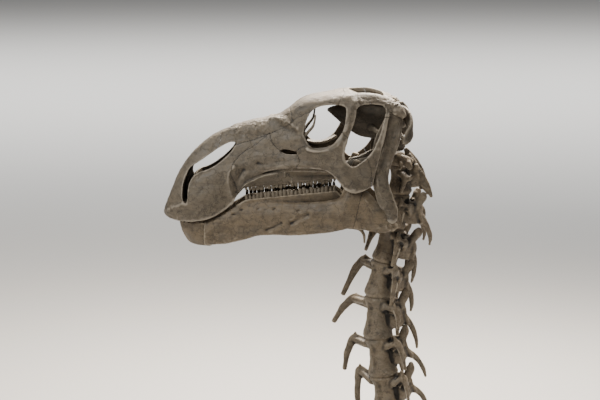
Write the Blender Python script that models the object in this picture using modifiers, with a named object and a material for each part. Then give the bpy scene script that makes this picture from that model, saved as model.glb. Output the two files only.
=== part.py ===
"""Skull and upper neck of a large iguanodont, a still, life-size museum model on a plain steel stand.

Metres, +Z up. The origin is the centre of the underside of the stand's base. The head faces -X and its
left side is at -Y. Every bone is one solid. The paired bones are made once, on the right, and mirrored.
"""
import math

import bmesh
import bpy
import numpy as np
from mathutils import Matrix, Vector

# ---------------------------------------------------------------- driving dimensions
BEAK_TIP = Vector((-0.612, 0.0, 0.921))  # where the skull's own frame sits: X back, Y right, Z up
GAP = 0.0003  # between bones that meet
SUTURE = 0.0004  # width of the joint lines of the skull
WALL = 0.010  # thickness of the skull's outer bones
REACH = 0.30  # the tools that cut the half skull run out to here
PAST_MIDDLE = -0.01  # and start here, past the middle plane
OVAL_SIDES = 10
FOSSA = 0.022  # the nostril opening stops this far from the middle
TEMPORAL_LINE = 0.045  # the parietals end this far from the middle

HOLLOW_START = .095  # the beak is solid in front of this
FLOOR_END = .200  # the skull's floor is closed in front of this
FLOOR_FADE = .050  # length over which the floor runs out
FLOOR_THICKNESS = .018
COLUMNS = 19  # rings along the head
ROWS = 7  # points of a ring, from the crest down to the lower edge
SHARP_ANGLE = math.radians(40)  # edges sharper than this stay sharp

# The half skull hangs on four lines from the beak tip to the back of the head: (X, Y, Z)
CREST = [(0, 0, .014), (.009, 0, .043), (.029, 0, .094), (.055, 0, .153), (.109, 0, .226), (.185, 0, .282),
         (.282, 0, .317), (.383, 0, .338), (.464, 0, .396), (.540, 0, .413), (.624, 0, .416),
         (.690, 0, .388), (.765, 0, .386)]
BROW = [(.001, .013, .012), (.011, .035, .041), (.035, .045, .094), (.065, .042, .151), (.119, .038, .211),
        (.192, .038, .264), (.285, .045, .300), (.383, .060, .324), (.464, .082, .370), (.540, .105, .392),
        (.624, .118, .407), (.690, .112, .422), (.758, .102, .398)]
FLANK = [(.002, .014, .008), (.018, .045, .024), (.047, .068, .048), (.087, .082, .074), (.148, .085, .098),
         (.208, .078, .138), (.289, .080, .180), (.376, .095, .202), (.463, .118, .215), (.544, .135, .218),
         (.617, .145, .227), (.678, .143, .243), (.732, .132, .276)]
HEM = [(.005, .012, .002), (.024, .038, -.006), (.057, .062, -.010), (.101, .074, -.010), (.161, .076, .002),
       (.218, .072, .040), (.265, .074, .107), (.349, .088, .160), (.456, .112, .174), (.547, .130, .165),
       (.614, .138, .102), (.658, .138, .100), (.695, .132, .116)]

# Openings of the skull's side, as seen from the side: (X, Z)
NARIS = [(.255, .258), (.232, .259), (.195, .241), (.154, .213), (.121, .190), (.091, .169), (.076, .142),
         (.067, .108), (.067, .067), (.077, .050), (.084, .067), (.086, .101), (.094, .128), (.117, .151),
         (.154, .164), (.195, .190), (.232, .224)]
ORBIT = [(.466, .287), (.473, .321), (.493, .362), (.530, .381), (.577, .384), (.607, .376), (.606, .335),
         (.596, .298), (.570, .260), (.540, .240), (.510, .235), (.483, .253)]
TEMPORAL = [(.651, .384), (.698, .388), (.738, .377), (.732, .330), (.715, .275), (.690, .226), (.658, .197),
            (.628, .182), (.604, .204), (.601, .235), (.614, .276), (.634, .330), (.641, .367)]
ANTORBITAL = ((.418, .226), .030, .008)  # centre, half-length, half-height
UPPER_TEMPORAL = ((.680, .056), .056, .038)  # seen from above: centre (X, Y), half-length, half-width
ROOF_CUT = (.34, .50)  # heights between which the upper opening is cut

# Joint lines between the bones of the side, as seen from the side: (X, Z)
SUTURES = [
    [(.188, .330), (.198, .283), (.176, .205)],  # premaxilla, nasal, above the nostril
    [(.262, .020), (.248, .076), (.245, .110), (.228, .158), (.255, .209), (.309, .246), (.357, .285)],
    [(.245, .245), (.309, .264), (.357, .284)],  # premaxilla, nasal, behind the nostril
    [(.356, .283), (.409, .307), (.434, .328)],  # nasal over maxilla and lacrimal
    [(.433, .326), (.426, .359), (.414, .420)],  # nasal, frontal
    [(.356, .286), (.369, .249), (.396, .226)],  # maxilla, lacrimal
    [(.440, .226), (.456, .201), (.443, .170), (.440, .130)],  # maxilla, jugal
    [(.440, .226), (.466, .246), (.492, .254)],  # lacrimal, jugal
    [(.432, .328), (.463, .346), (.503, .366)],  # lacrimal, frontal
    [(.578, .374), (.591, .403), (.621, .440)],  # frontal, postorbital
    [(.585, .307), (.607, .282), (.626, .271)],  # jugal, postorbital
    [(.669, .225), (.691, .167), (.688, .080)],  # jugal, quadratojugal
    [(.722, .343), (.790, .343)],  # quadratojugal, squamosal
]
BAR_SUTURE = [(.697, .376), (.678, .405), (.668, .440)]  # postorbital, squamosal; the parietal stays whole
PARIETAL_SIDE = ((.585, .30), (.80, .50))  # two corners of the upright cut beside the parietals
# A point on each bone of the half skull
BONES = {
    "premaxilla": (.12, .085, .06),
    "nasal": (.32, .045, .29),
    "maxilla": (.33, .09, .185),
    "lacrimal": (.42, .09, .27),
    "frontal": (.53, .08, .395),
    "parietal": (.65, 0, .40),
    "postorbital": (.62, .13, .35),
    "squamosal": (.74, .11, .38),
    "jugal": (.56, .135, .19),
    "quadratojugal": (.70, .135, .20),
}

# Tooth rows: from front to back, 11 teeth each side above and below
TEETH = 11
TEETH_X = (.272, .578)
UPPER_TIPS = (.088, .118)  # height of the tooth tips at the row's two ends
LOWER_TIPS = (.083, .113)
TOOTH_HEIGHT = .014
TOOTH_Y = (.058, .064)
TOOTH_WIDTH = .012
CUSP = .6  # depth of the notch between two teeth, of a tooth's height

# Upper jaw inside the cheek: X, shelf (Y, Z) at the skull's lower edge
SHELF = [(.258, .066, .100), (.300, .074, .135), (.349, .080, .158), (.456, .104, .172), (.547, .120, .165),
         (.585, .122, .150)]

# Lower jaw: X, top, bottom, Y of the middle, half-thickness
RAMUS = [(.138, -.013, -.091, .056, .017), (.205, .016, -.088, .060, .019), (.262, .052, -.075, .062, .021),
         (.339, .062, -.056, .066, .022), (.456, .071, -.054, .080, .026), (.574, .084, -.039, .095, .030),
         (.624, .112, -.027, .106, .024), (.674, .100, -.033, .112, .019), (.725, .048, -.040, .116, .017),
         (.767, .000, -.030, .118, .013)]
RAMUS_RINGS = 12
RING_POINTS = 9
DENTARY_END = [(.672, .140), (.651, .055), (.622, -.070)]
CORONOID = [(.628, .100, .080), (.636, .100, .140), (.646, .098, .196)]
GUM_START = .034  # the inner side of the jaw starts this far in front of the teeth
GUM_SINK = (.030, .004, 0, 0, 0)  # and rises to them in steps
GUM_DEPTH = .060
PREDENTARY_TOP = [(.160, .068, -.010), (.118, .064, -.016), (.080, .046, -.018), (.056, .020, -.018),
                  (.052, 0, -.018)]
PREDENTARY_BASE = [(.185, .058, -.094), (.145, .052, -.096), (.105, .038, -.093), (.084, .018, -.086),
                   (.076, 0, -.080)]
PREDENTARY_WALL = .020

PREDENTARY_RINGS = 9

# Quadrate: X, Y, Z, half-depth along the head
QUADRATE = [(.764, .096, .384, .018), (.766, .100, .339, .028), (.753, .105, .272, .033),
            (.728, .108, .205, .034), (.722, .112, .137, .026), (.738, .117, .070, .028),
            (.755, .119, .030, .025), (.757, .119, .004, .019)]
QUADRATE_THICK = .012

# Braincase: X, Z of the middle, half-height, half-width
BRAINCASE = [(.545, .352, .016, .016), (.600, .335, .040, .030), (.650, .322, .052, .037),
             (.710, .316, .058, .042), (.760, .312, .056, .042), (.786, .306, .040, .034)]
PAROCCIPITAL = [(.770, .020, .345), (.794, .050, .350), (.812, .080, .336), (.819, .104, .304),
                (.811, .116, .276), (.799, .120, .256)]
PAROCCIPITAL_GIRTH = [(.012, .026), (.011, .026), (.010, .025), (.009, .022), (.008, .017), (.006, .008)]
CONDYLE_STEM = [(.745, 0, .268), (.770, 0, .250), (.786, 0, .238)]
CONDYLE = (.788, 0, .236)
CONDYLE_RADIUS = .025
BASISPHENOID = [(.755, 0, .280), (.740, 0, .215), (.728, 0, .190)]
BASAL_PROCESS = [(.735, .006, .215), (.722, .030, .172)]
SUPRAOCCIPITAL = [(.775, 0, .300), (.775, 0, .360), (.768, 0, .374)]
SQUAMOSAL_KNOB = [(.735, .098, .384), (.762, .103, .378), (.786, .108, .364), (.800, .110, .350)]
# Palate: X, height of its edges, half-width; then the wings that run back to the quadrates
PALATE = [(.205, .052, .040), (.260, .100, .042), (.340, .132, .042), (.460, .150, .042), (.580, .156, .042),
          (.640, .160, .030)]
PTERYGOID = [(.620, .020, .172), (.660, .042, .172), (.700, .070, .180), (.722, .094, .190)]
ECTOPTERYGOID = [(.600, .030, .165), (.612, .100, .160)]
PALPEBRAL = [(.468, .088, .262), (.484, .104, .298), (.498, .112, .328), (.503, .114, .346)]
GLENOID = [(.725, .116, .010), (.752, .118, -.012), (.768, .118, -.012)]
# The thin rods of the throat
HYOID = [(.507, .052, -.014), (.560, .062, -.020), (.607, .074, -.026), (.651, .084, -.032),
         (.670, .086, -.050), (.671, .087, -.080)]

# Neck: its middle line from the skull down (X, Z), and the heights of the joints between its bones
NECK_LINE = [(.174, 1.142), (.177, 1.091), (.180, 1.006), (.174, .938), (.157, .877), (.140, .819),
             (.127, .761), (.117, .700), (.107, .642), (.103, .574), (.110, .503), (.120, .439),
             (.130, .371), (.140, .303), (.147, .230)]
JOINTS = [1.135, 1.094, .999, .884, .766, .647, .504, .374, .248]
ATLAS_TURN = 2  # degrees that the atlas and the axis are turned round the neck
AXIS_TURN = 5
# Each vertebra's own frame: x to its left, y to its back, z to the head, from the middle of its body.
# name: turn of its back round the neck in degrees, girth, where the rib's heads meet, rib tip, tip of the
# rear joint process
VERTEBRAE = {
    "cervical_3": (10, .88, (.072, -.010, .025), (.082, -.030, -.040), (.042, .124, -.098)),
    "cervical_4": (20, .93, (.096, -.012, .028), (.092, -.032, -.055), (.036, .104, -.112)),
    "cervical_5": (32, 1.00, (.102, -.012, .034), (.138, -.044, -.098), (.045, .117, -.102)),
    "cervical_6": (40, 1.06, (.124, .000, .040), (.166, -.055, -.040), (.047, .137, -.128)),
    "cervical_7": (45, 1.07, (.112, -.004, .052), (.137, -.047, -.048), (.052, .150, -.118)),
    "cervical_8": (48, 1.10, (.106, .000, .066), (.126, -.010, -.068), (.050, .148, -.095)),
}
# The shape that all vertebrae share, for a girth of 1; heights are in half-lengths of the body
CENTRUM = [(-1, .048, .043), (-.72, .050, .044), (-.15, .036, .033), (.35, .035, .032), (.72, .043, .039),
           (.98, .038, .034), (1.22, .018, .016)]  # height, half-width, half-depth; a ball on top
KEEL = [(-.034, -.5, .012), (-.033, .6, .014)]  # y, height, half-width
ARCH = [(-.030, .022), (-.034, .060), (-.018, .086), (.018, .086), (.034, .060), (.030, .022)]  # x, y
ARCH_GIRTH = (.011, .58)  # thickness, half-height
SPINE = [(.090, .40), (.100, -.10), (.102, -.62)]  # y, height
FRONT_PROCESS = [(.032, .062, .15), (.042, .074, .95), (.044, .080, 1.25)]  # x, y, height
CROSS_PROCESS = [(.032, .050, .15), (.062, .038, .30), (.082, .022, .42)]
LOWER_PROCESS = [(.034, -.004, .50), (.056, -.012, .56)]
RIB_BEND = .38  # the rib's shaft bends this far along it
VOXEL = .0055  # bones grown together from tubes are closed at this grain
VERTEBRA_FACES = 236  # triangles of a vertebra
ATLAS_FACES = 200
BRAINCASE_FACES = 350
PALATE_FACES = 230

# Stand
BASE_SIZE = (.70, .45, .020)
BASE_EDGE = .004
POST_X = .148
POST_RADIUS = .016
POST_TOP = .205
FLANGE_RADIUS = .050
FLANGE_HEIGHT = .012
CUP_RADIUS = .040
CUP_CONE = .020  # height of the cone under the cup
CUP_TOP = .262
TURNED_SIDES = 14


UPRIGHT = (0, 0, 1)


# ---------------------------------------------------------------- tools
def spline(points, at):
    """Catmull-Rom curve through the points; at counts points along it, 0 for the first."""
    knots = np.array(points, float)
    knots = np.vstack([2 * knots[0] - knots[1], knots, 2 * knots[-1] - knots[-2]])
    result = []
    for here in np.atleast_1d(at):
        first = min(max(int(math.floor(here)), 0), len(points) - 2)
        f = here - first
        a, b, c, d = knots[first:first + 4]
        result.append(.5 * (2 * b + (c - a) * f + (2 * a - 5 * b + 4 * c - d) * f**2
                            + (3 * b - a - 3 * c + d) * f**3))
    return np.array(result)


def even(points, count):
    """count points along the curve through the points."""
    return spline(points, np.linspace(0, len(points) - 1, count))


def material(name, red, green, blue, roughness, metallic=0.0):
    result = bpy.data.materials.new(name)
    result.use_nodes = True
    shader = result.node_tree.nodes["Principled BSDF"]
    shader.inputs["Base Color"].default_value = (red, green, blue, 1)
    shader.inputs["Roughness"].default_value = roughness
    shader.inputs["Metallic"].default_value = metallic
    return result


def on_bench(name, bm):
    """A new object in the bench collection, from a bmesh that is used up."""
    mesh = bpy.data.meshes.new(name)
    bm.to_mesh(mesh)
    bm.free()
    result = bpy.data.objects.new(name, mesh)
    result.hide_render = True
    result.display_type = "WIRE"
    bench.objects.link(result)
    return result


def object_of(mesh_maker, name="work"):
    """A new object in the bench collection; mesh_maker fills its bmesh."""
    bm = bmesh.new()
    mesh_maker(bm)
    bmesh.ops.recalc_face_normals(bm, faces=bm.faces)
    return on_bench(name, bm)


def lofted(rings):
    """A closed body through rings of points, all with the same count."""
    def fill(bm):
        loops = [[bm.verts.new(p) for p in ring] for ring in rings]
        for one, two in zip(loops, loops[1:]):
            for i in range(len(one)):
                j = (i + 1) % len(one)
                bm.faces.new((one[i], one[j], two[j], two[i]))
        bm.faces.new(loops[0])
        bm.faces.new(loops[-1])
        bmesh.ops.triangulate(bm, faces=bm.faces)
    return object_of(fill)


def tube(points, radii, sides=8, wide=(0, 1, 0), steps=1):
    """A round or flattened bar along the points; radii are numbers or (across wide, along wide) pairs."""
    pairs = [(r, r) if np.isscalar(r) else r for r in radii]
    count = (len(points) - 1) * steps + 1
    path, girth = even(points, count), even(pairs, count)
    rings = []
    for i, centre in enumerate(path):
        along = Vector(path[min(i + 1, count - 1)] - path[max(i - 1, 0)]).normalized()
        second = Vector(wide) - along * along.dot(Vector(wide))
        second.normalize()
        first = along.cross(second)
        across, deep = np.abs(girth[i])
        turns = [2 * math.pi * k / sides for k in range(sides)]
        rings.append([Vector(centre) + first * across * math.cos(a) + second * deep * math.sin(a)
                      for a in turns])
    return lofted(rings)


def ball(centre, radii, divisions=2):
    def fill(bm):
        place = Matrix.Translation(centre) @ Matrix.Diagonal((*radii, 1))
        bmesh.ops.create_icosphere(bm, subdivisions=divisions, radius=1, matrix=place)
    return object_of(fill)


def slab(outline, low, high):
    """A flat (X, Z) outline drawn out along Y from low to high."""
    def fill(bm):
        face = bm.faces.new([bm.verts.new((x, low, z)) for x, z in outline])
        out = bmesh.ops.extrude_face_region(bm, geom=[face])["geom"]
        moved = [v for v in out if isinstance(v, bmesh.types.BMVert)]
        bmesh.ops.translate(bm, vec=(0, high - low, 0), verts=moved)
    return object_of(fill)


def curtain(line, low, high):
    """A thin wall along an (X, Z) line, drawn out along Y."""
    path = np.array(line)
    side = np.gradient(path, axis=0)
    side /= np.linalg.norm(side, axis=1)[:, None]
    across = np.column_stack([-side[:, 1], side[:, 0]]) * SUTURE / 2
    return slab([*map(tuple, path + across), *map(tuple, (path - across)[::-1])], low, high)


def settle(target):
    """Applies the target's modifiers."""
    graph = bpy.context.evaluated_depsgraph_get()
    graph.update()
    mesh = bpy.data.meshes.new_from_object(target.evaluated_get(graph))
    target.modifiers.clear()
    target.data = mesh


def combine(target, tool, operation="DIFFERENCE"):
    """Cuts the tool from the target, or joins it on. The exact solver fails on cuts this thin."""
    modifier = target.modifiers.new("combine", "BOOLEAN")
    modifier.operation = operation
    modifier.solver = "MANIFOLD"
    modifier.object = tool
    settle(target)
    bpy.data.objects.remove(tool)


def copied(source, flip=False):
    """A copy of an object in the bench collection, mirrored at the middle plane if flip."""
    bm = bmesh.new()
    bm.from_mesh(source.data)
    if flip:
        bmesh.ops.transform(bm, matrix=Matrix.Diagonal((1, -1, 1, 1)), verts=bm.verts)
        bmesh.ops.reverse_faces(bm, faces=bm.faces)
    return on_bench(source.name, bm)


def bodies(target):
    """A bmesh of an object, and the vertex sets of its separate bodies, largest first."""
    bm = bmesh.new()
    bm.from_mesh(target.data)
    left, found = set(bm.verts), []
    while left:
        seed = left.pop()
        group, edge = {seed}, [seed]
        while edge:
            for link in edge.pop().link_edges:
                for v in link.verts:
                    if v in left:
                        left.discard(v)
                        group.add(v)
                        edge.append(v)
        found.append(group)
    return bm, sorted(found, key=len, reverse=True)


def part_of(target, chosen, name):
    """A new object with one of the target's bodies: the one that comes nearest to the chosen point."""
    bm, groups = bodies(target)
    point = Vector(chosen)
    best = min(groups, key=lambda group: min((v.co - point).length for v in group))
    bmesh.ops.delete(bm, geom=[v for v in bm.verts if v not in best], context="VERTS")
    return on_bench(name, bm)


def keep_largest(target):
    bm, groups = bodies(target)
    if len(groups) > 1:
        bmesh.ops.delete(bm, geom=[v for v in bm.verts if v not in groups[0]], context="VERTS")
        bm.to_mesh(target.data)
    bm.free()


def swollen(source, by):
    """A copy moved out along its own normals."""
    result = copied(source)
    bm = bmesh.new()
    bm.from_mesh(result.data)
    bmesh.ops.remove_doubles(bm, verts=bm.verts, dist=.00001)
    bm.normal_update()
    shifts = [(v, v.normal * by * min(v.calc_shell_factor(), 3)) for v in bm.verts]
    for v, shift in shifts:
        v.co += shift
    bm.to_mesh(result.data)
    bm.free()
    return result


def fit(target, *neighbours):
    """Cuts the target back from its neighbours: from the bone itself, then from it moved out by the gap."""
    for neighbour in neighbours:
        for tool in (copied(neighbour), swollen(neighbour, GAP)):
            combine(target, tool)
            keep_largest(target)


def fit_both(target, *neighbours):
    """Cuts the target back from paired bones, of which only the right one is made yet."""
    for neighbour in neighbours:
        twin = copied(neighbour, flip=True)
        fit(target, neighbour, twin)
        bpy.data.objects.remove(twin)


def both_sides(points):
    """The points of a paired process, right and left, where the first coordinate runs across."""
    return [[(side * x, y, z) for x, y, z in points] for side in (1, -1)]


def both_cheeks(points):
    """The same in the skull's frame, where Y runs across."""
    return [[(x, side * y, z) for x, y, z in points] for side in (1, -1)]


def grown_together(parts, faces):
    """One closed bone from overlapping parts."""
    bm = bmesh.new()
    for part in parts:
        bm.from_mesh(part.data)
        bpy.data.objects.remove(part)
    result = on_bench("bone", bm)
    remesh = result.modifiers.new("grow", "REMESH")
    remesh.mode = "VOXEL"
    remesh.voxel_size = VOXEL
    smooth = result.modifiers.new("smooth", "SMOOTH")
    smooth.factor = .5
    smooth.iterations = 2
    settle(result)
    keep_largest(result)
    thin = result.modifiers.new("thin", "DECIMATE")
    thin.ratio = min(1, faces / (2 * len(result.data.polygons)))
    thin.use_collapse_triangulate = True
    settle(result)
    return result


def finish(target, name, look, place=None):
    """Puts a finished bone in the model."""
    if place is not None:
        target.data.transform(place)
    mesh = target.data
    mesh.materials.clear()
    mesh.materials.append(look)
    mesh.shade_smooth()
    mesh.set_sharp_from_angle(angle=SHARP_ANGLE)
    target.name = name
    mesh.name = name
    target.hide_render = False
    target.display_type = "TEXTURED"
    bench.objects.unlink(target)
    model.objects.link(target)


# ---------------------------------------------------------------- the scene
for old in list(bpy.data.objects):
    bpy.data.objects.remove(old)
model = bpy.data.collections.new("iguanodont_skull")
bench = bpy.data.collections.new("cutters")
bpy.context.scene.collection.children.link(model)
bpy.context.scene.collection.children.link(bench)
bone = material("fossil_bone", .20, .16, .115, .62)
steel = material("blackened_steel", .035, .035, .038, .45, .9)
AT_SKULL = Matrix.Translation(BEAK_TIP)


# ---------------------------------------------------------------- the skull's outer bones
def skull_surface():
    """Points of the half skull's outside, [column, row], crest to lower edge, and their inward normals."""
    lines = [even(line, COLUMNS) for line in (CREST, BROW, FLANK, HEM)]
    grid = []
    for crest, brow, flank, hem in zip(*lines):
        beyond = brow * (1, -1, 1)
        grid.append(spline([beyond, crest, brow, flank, hem], np.linspace(1, 4, ROWS)))
    grid = np.array(grid)
    inward = np.cross(np.gradient(grid, axis=1), np.gradient(grid, axis=0))
    inward /= np.linalg.norm(inward, axis=2)[:, :, None]
    if inward[COLUMNS // 2, ROWS // 2, 1] > 0:
        inward = -inward
    return grid, inward


def half_skull():
    """The right half: a solid head less its hollow, which is open behind and, past the beak, below."""
    grid, inward = skull_surface()
    outer = lofted([[*ring, (ring[-1][0], 0, ring[-1][2])] for ring in grid])
    rings = []
    for ring, lining in zip(grid, grid + inward * WALL):
        if ring[0][0] < HOLLOW_START:
            continue
        hem = ring[-1]
        opened = min(max((hem[0] - FLOOR_END) / FLOOR_FADE, 0), 1)
        side = spline(lining, np.linspace(0, (ROWS - 1) * (.8 + .2 * opened), ROWS))
        bottom = hem[2] + FLOOR_THICKNESS - .07 * opened
        rings.append([(side[0][0], -.02, side[0][2]), *side, (side[-1][0], side[-1][1], bottom),
                      (side[-1][0], -.02, bottom)])
    rings.append([tuple(1.5 * np.array(a) - .5 * np.array(b)) for a, b in zip(rings[-1], rings[-2])])
    combine(outer, lofted(rings))
    return outer


def rounded(outline):
    """A closed outline smoothed through its points, with a few points more."""
    return [tuple(p) for p in even([*outline, outline[0]], len(outline) + 6)[:-1]]


def oval(centre, length, height):
    turns = [2 * math.pi * k / OVAL_SIDES for k in range(OVAL_SIDES)]
    return [(centre[0] + length * math.cos(a), centre[1] + height * math.sin(a)) for a in turns]


def upper_opening(bm):
    (x, y), length, width = UPPER_TEMPORAL
    low, high = ROOF_CUT
    place = Matrix.Translation((x, y, (low + high) / 2)) @ Matrix.Diagonal((length, width, 1, 1))
    bmesh.ops.create_cone(bm, cap_ends=True, segments=14, radius1=1, radius2=1, depth=high - low,
                          matrix=place)


skull = half_skull()
combine(skull, slab(rounded(NARIS), FOSSA, REACH))
combine(skull, slab(rounded(ORBIT), PAST_MIDDLE, REACH))
combine(skull, slab(rounded(TEMPORAL), PAST_MIDDLE, REACH))
combine(skull, slab(oval(*ANTORBITAL), FOSSA, REACH))
combine(skull, object_of(upper_opening))
for line in SUTURES:
    combine(skull, curtain(line, PAST_MIDDLE, REACH))
combine(skull, curtain(BAR_SUTURE, TEMPORAL_LINE - PAST_MIDDLE, REACH))
(front, low), (rear, high) = PARIETAL_SIDE
beside_parietal = [(front, low), (rear, low), (rear, high), (front, high)]
combine(skull, slab(beside_parietal, TEMPORAL_LINE, TEMPORAL_LINE + SUTURE))

half = {name: part_of(skull, point, name) for name, point in BONES.items()}
bpy.data.objects.remove(skull)


# ---------------------------------------------------------------- the upper jaw inside the cheek, with teeth
def teeth_comb(tips, height):
    """A row of pointed teeth; height is up to the root, negative for the lower row."""
    xs = np.linspace(*TEETH_X, 2 * TEETH + 1)
    edge = [(x, np.interp(x, TEETH_X, tips) + (0 if i % 2 else height * CUSP)) for i, x in enumerate(xs)]
    root = [(x, z + height) for x, z in (edge[-1], edge[0])]
    middle = sum(TOOTH_Y) / 2
    return slab(edge + root, middle - TOOTH_WIDTH / 2, middle + TOOTH_WIDTH / 2)


def shelf_body():
    """The upper jaw from the cheek's shelf in to the sockets of the teeth."""
    rings = []
    for x, y, z in SHELF:
        root = np.interp(x, TEETH_X, UPPER_TIPS) + TOOTH_HEIGHT
        out, inside = TOOTH_Y[1] + .010, TOOTH_Y[0] - .012
        rings.append([(x, y, z + .010), (x, y - .004, z - .004), (x, out, root + .008), (x, out - .005, root),
                      (x, inside + .003, root), (x, inside, root + .010), (x, inside, z + .020),
                      (x, y - .020, z + .022)])
    return lofted(rings)


maxilla = half["maxilla"]
combine(maxilla, shelf_body(), "UNION")
combine(maxilla, teeth_comb(UPPER_TIPS, TOOTH_HEIGHT), "UNION")
fit(maxilla, half["premaxilla"], half["jugal"], half["lacrimal"])


# ---------------------------------------------------------------- the back of the skull
squamosal = half["squamosal"]
combine(squamosal, tube(SQUAMOSAL_KNOB, [.012, .020, .019, .010], wide=(0, 1, 0)), "UNION")
fit(squamosal, half["quadratojugal"], half["parietal"])

parietal = half["parietal"]
combine(parietal, copied(parietal, flip=True), "UNION")

quadrate = tube([p[:3] for p in QUADRATE], [(QUADRATE_THICK, p[3]) for p in QUADRATE], 9, (1, 0, 0))
fit(quadrate, half["quadratojugal"], squamosal, half["jugal"])


def braincase_ring(x, z, height, width):
    return [(x, width * math.cos(a), z + height * math.sin(a)) for a in np.linspace(0, 2 * math.pi, 13)[:-1]]


def palate_ring(x, z, width):
    """A thin vaulted plate: its underside from right to left, then back over the top."""
    under = [(-1, 0), (-.5, .012), (0, .016), (.5, .012), (1, 0)]
    over = [(.9, .010), (.4, .024), (-.4, .024), (-.9, .010)]
    return [(x, width * across, z + rise) for across, rise in under + over]


braincase_parts = [lofted([braincase_ring(*station) for station in BRAINCASE]),
                   tube(CONDYLE_STEM, [.022, .024, .020]),
                   ball(CONDYLE, (CONDYLE_RADIUS,) * 3),
                   tube(BASISPHENOID, [.026, .022, .014]),
                   tube(SUPRAOCCIPITAL, [(.034, .012), (.040, .012), (.036, .008)])]
braincase_parts += [tube(wing, PAROCCIPITAL_GIRTH, 8, UPRIGHT) for wing in both_cheeks(PAROCCIPITAL)]
braincase_parts += [tube(process, [.014, .010]) for process in both_cheeks(BASAL_PROCESS)]
braincase = grown_together(braincase_parts, BRAINCASE_FACES)

palate_parts = [lofted([palate_ring(*station) for station in PALATE])]
for wing in both_cheeks(PTERYGOID):
    palate_parts.append(tube(wing, [(.008, .020), (.007, .026), (.006, .034), (.005, .030)], 8, UPRIGHT))
palate_parts += [tube(strut, [(.008, .014), (.008, .012)]) for strut in both_cheeks(ECTOPTERYGOID)]
palate = grown_together(palate_parts, PALATE_FACES)

palpebral = tube(PALPEBRAL, [.006, .005, .004, .0025], 6)
fit(palpebral, half["lacrimal"], half["frontal"])


# ---------------------------------------------------------------- the lower jaw
def jaw_ring(x, top, bottom, y, thick):
    """An upright oval with a fuller lower edge."""
    middle, tall = (top + bottom) / 2, (top - bottom) / 2
    ring = []
    for a in np.linspace(0, 2 * math.pi, RING_POINTS + 1)[:-1]:
        c, s = math.cos(a), math.sin(a)
        across, up = (math.copysign(abs(part)**.8, part) for part in (c, s))
        ring.append((x, y + thick * across, middle + tall * up))
    return ring


ramus = lofted([jaw_ring(*station) for station in even(RAMUS, RAMUS_RINGS)])
combine(ramus, curtain(DENTARY_END, PAST_MIDDLE, REACH))
dentary = part_of(ramus, (.30, .08, 0), "dentary")
surangular = part_of(ramus, (.72, .13, 0), "surangular")
bpy.data.objects.remove(ramus)
combine(surangular, tube(GLENOID, [(.014, .016), (.016, .016), (.012, .012)], wide=(0, 1, 0)), "UNION")
combine(dentary, tube(CORONOID, [(.012, .034), (.010, .024), (.008, .014)], 8, (1, 0, 0)), "UNION")


def gum_body():
    """The inner side of the lower jaw, which holds the teeth; it sinks away in front of them."""
    rings = []
    for x, sink in zip(np.linspace(TEETH_X[0] - GUM_START, TEETH_X[1] + .010, len(GUM_SINK)), GUM_SINK):
        root = np.interp(x, TEETH_X, LOWER_TIPS) - TOOTH_HEIGHT - sink
        foot, out, inside = root - GUM_DEPTH, TOOTH_Y[1] + .010, TOOTH_Y[0] - .012
        rings.append([(x, out - .002, root), (x, inside + .002, root), (x, inside, foot), (x, out, foot),
                      (x, out, root - .014)])
    return lofted(rings)


def predentary_hoop():
    """Sections of the horseshoe that caps the lower jaw, from one end round the front to the other."""
    rings = []
    for one, two in zip(even(PREDENTARY_TOP, PREDENTARY_RINGS), even(PREDENTARY_BASE, PREDENTARY_RINGS)):
        into = Vector((.42 - one[0] * 2.2, -one[1] * 3, 0)).normalized() * PREDENTARY_WALL
        ring = [one, (one + two) / 2 + (-.004, .003, 0), two,
                two + (0, 0, .006) + into, one + (0, 0, -.004) + into]
        rings.append([(x, max(y, 0), z) for x, y, z in ring])
    return rings + [[(x, -y, z) for x, y, z in ring] for ring in rings[-2::-1]]


combine(dentary, gum_body(), "UNION")
combine(dentary, teeth_comb(LOWER_TIPS, -TOOTH_HEIGHT), "UNION")
fit(dentary, surangular)
fit(surangular, quadrate)
predentary = lofted(predentary_hoop())
fit_both(dentary, predentary)

hyoid = tube(HYOID, [.006, .007, .007, .006, .005, .003], 6)
fit(hyoid, dentary, surangular)


# ---------------------------------------------------------------- the neck
def neck_at(height):
    """The neck's middle line at a height, and its direction towards the head."""
    line = even(NECK_LINE, 120)
    x = float(np.interp(height, line[::-1, 1], line[::-1, 0]))
    above = float(np.interp(height + .01, line[::-1, 1], line[::-1, 0]))
    return Vector((x, 0, height)), Vector((above - x, 0, .01)).normalized()


def neck_frame(top, bottom, turn):
    """Matrix from a vertebra's own frame to the world, and its length."""
    upper, lower = neck_at(top)[0], neck_at(bottom)[0]
    ahead = (upper - lower).normalized()
    back = Vector((math.cos(math.radians(turn)), math.sin(math.radians(turn)), 0))
    back = (back - ahead * ahead.dot(back)).normalized()
    left = back.cross(ahead)
    place = Matrix((left, back, ahead)).transposed().to_4x4()
    place.translation = (upper + lower) / 2
    return place, (upper - lower).length


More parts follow.
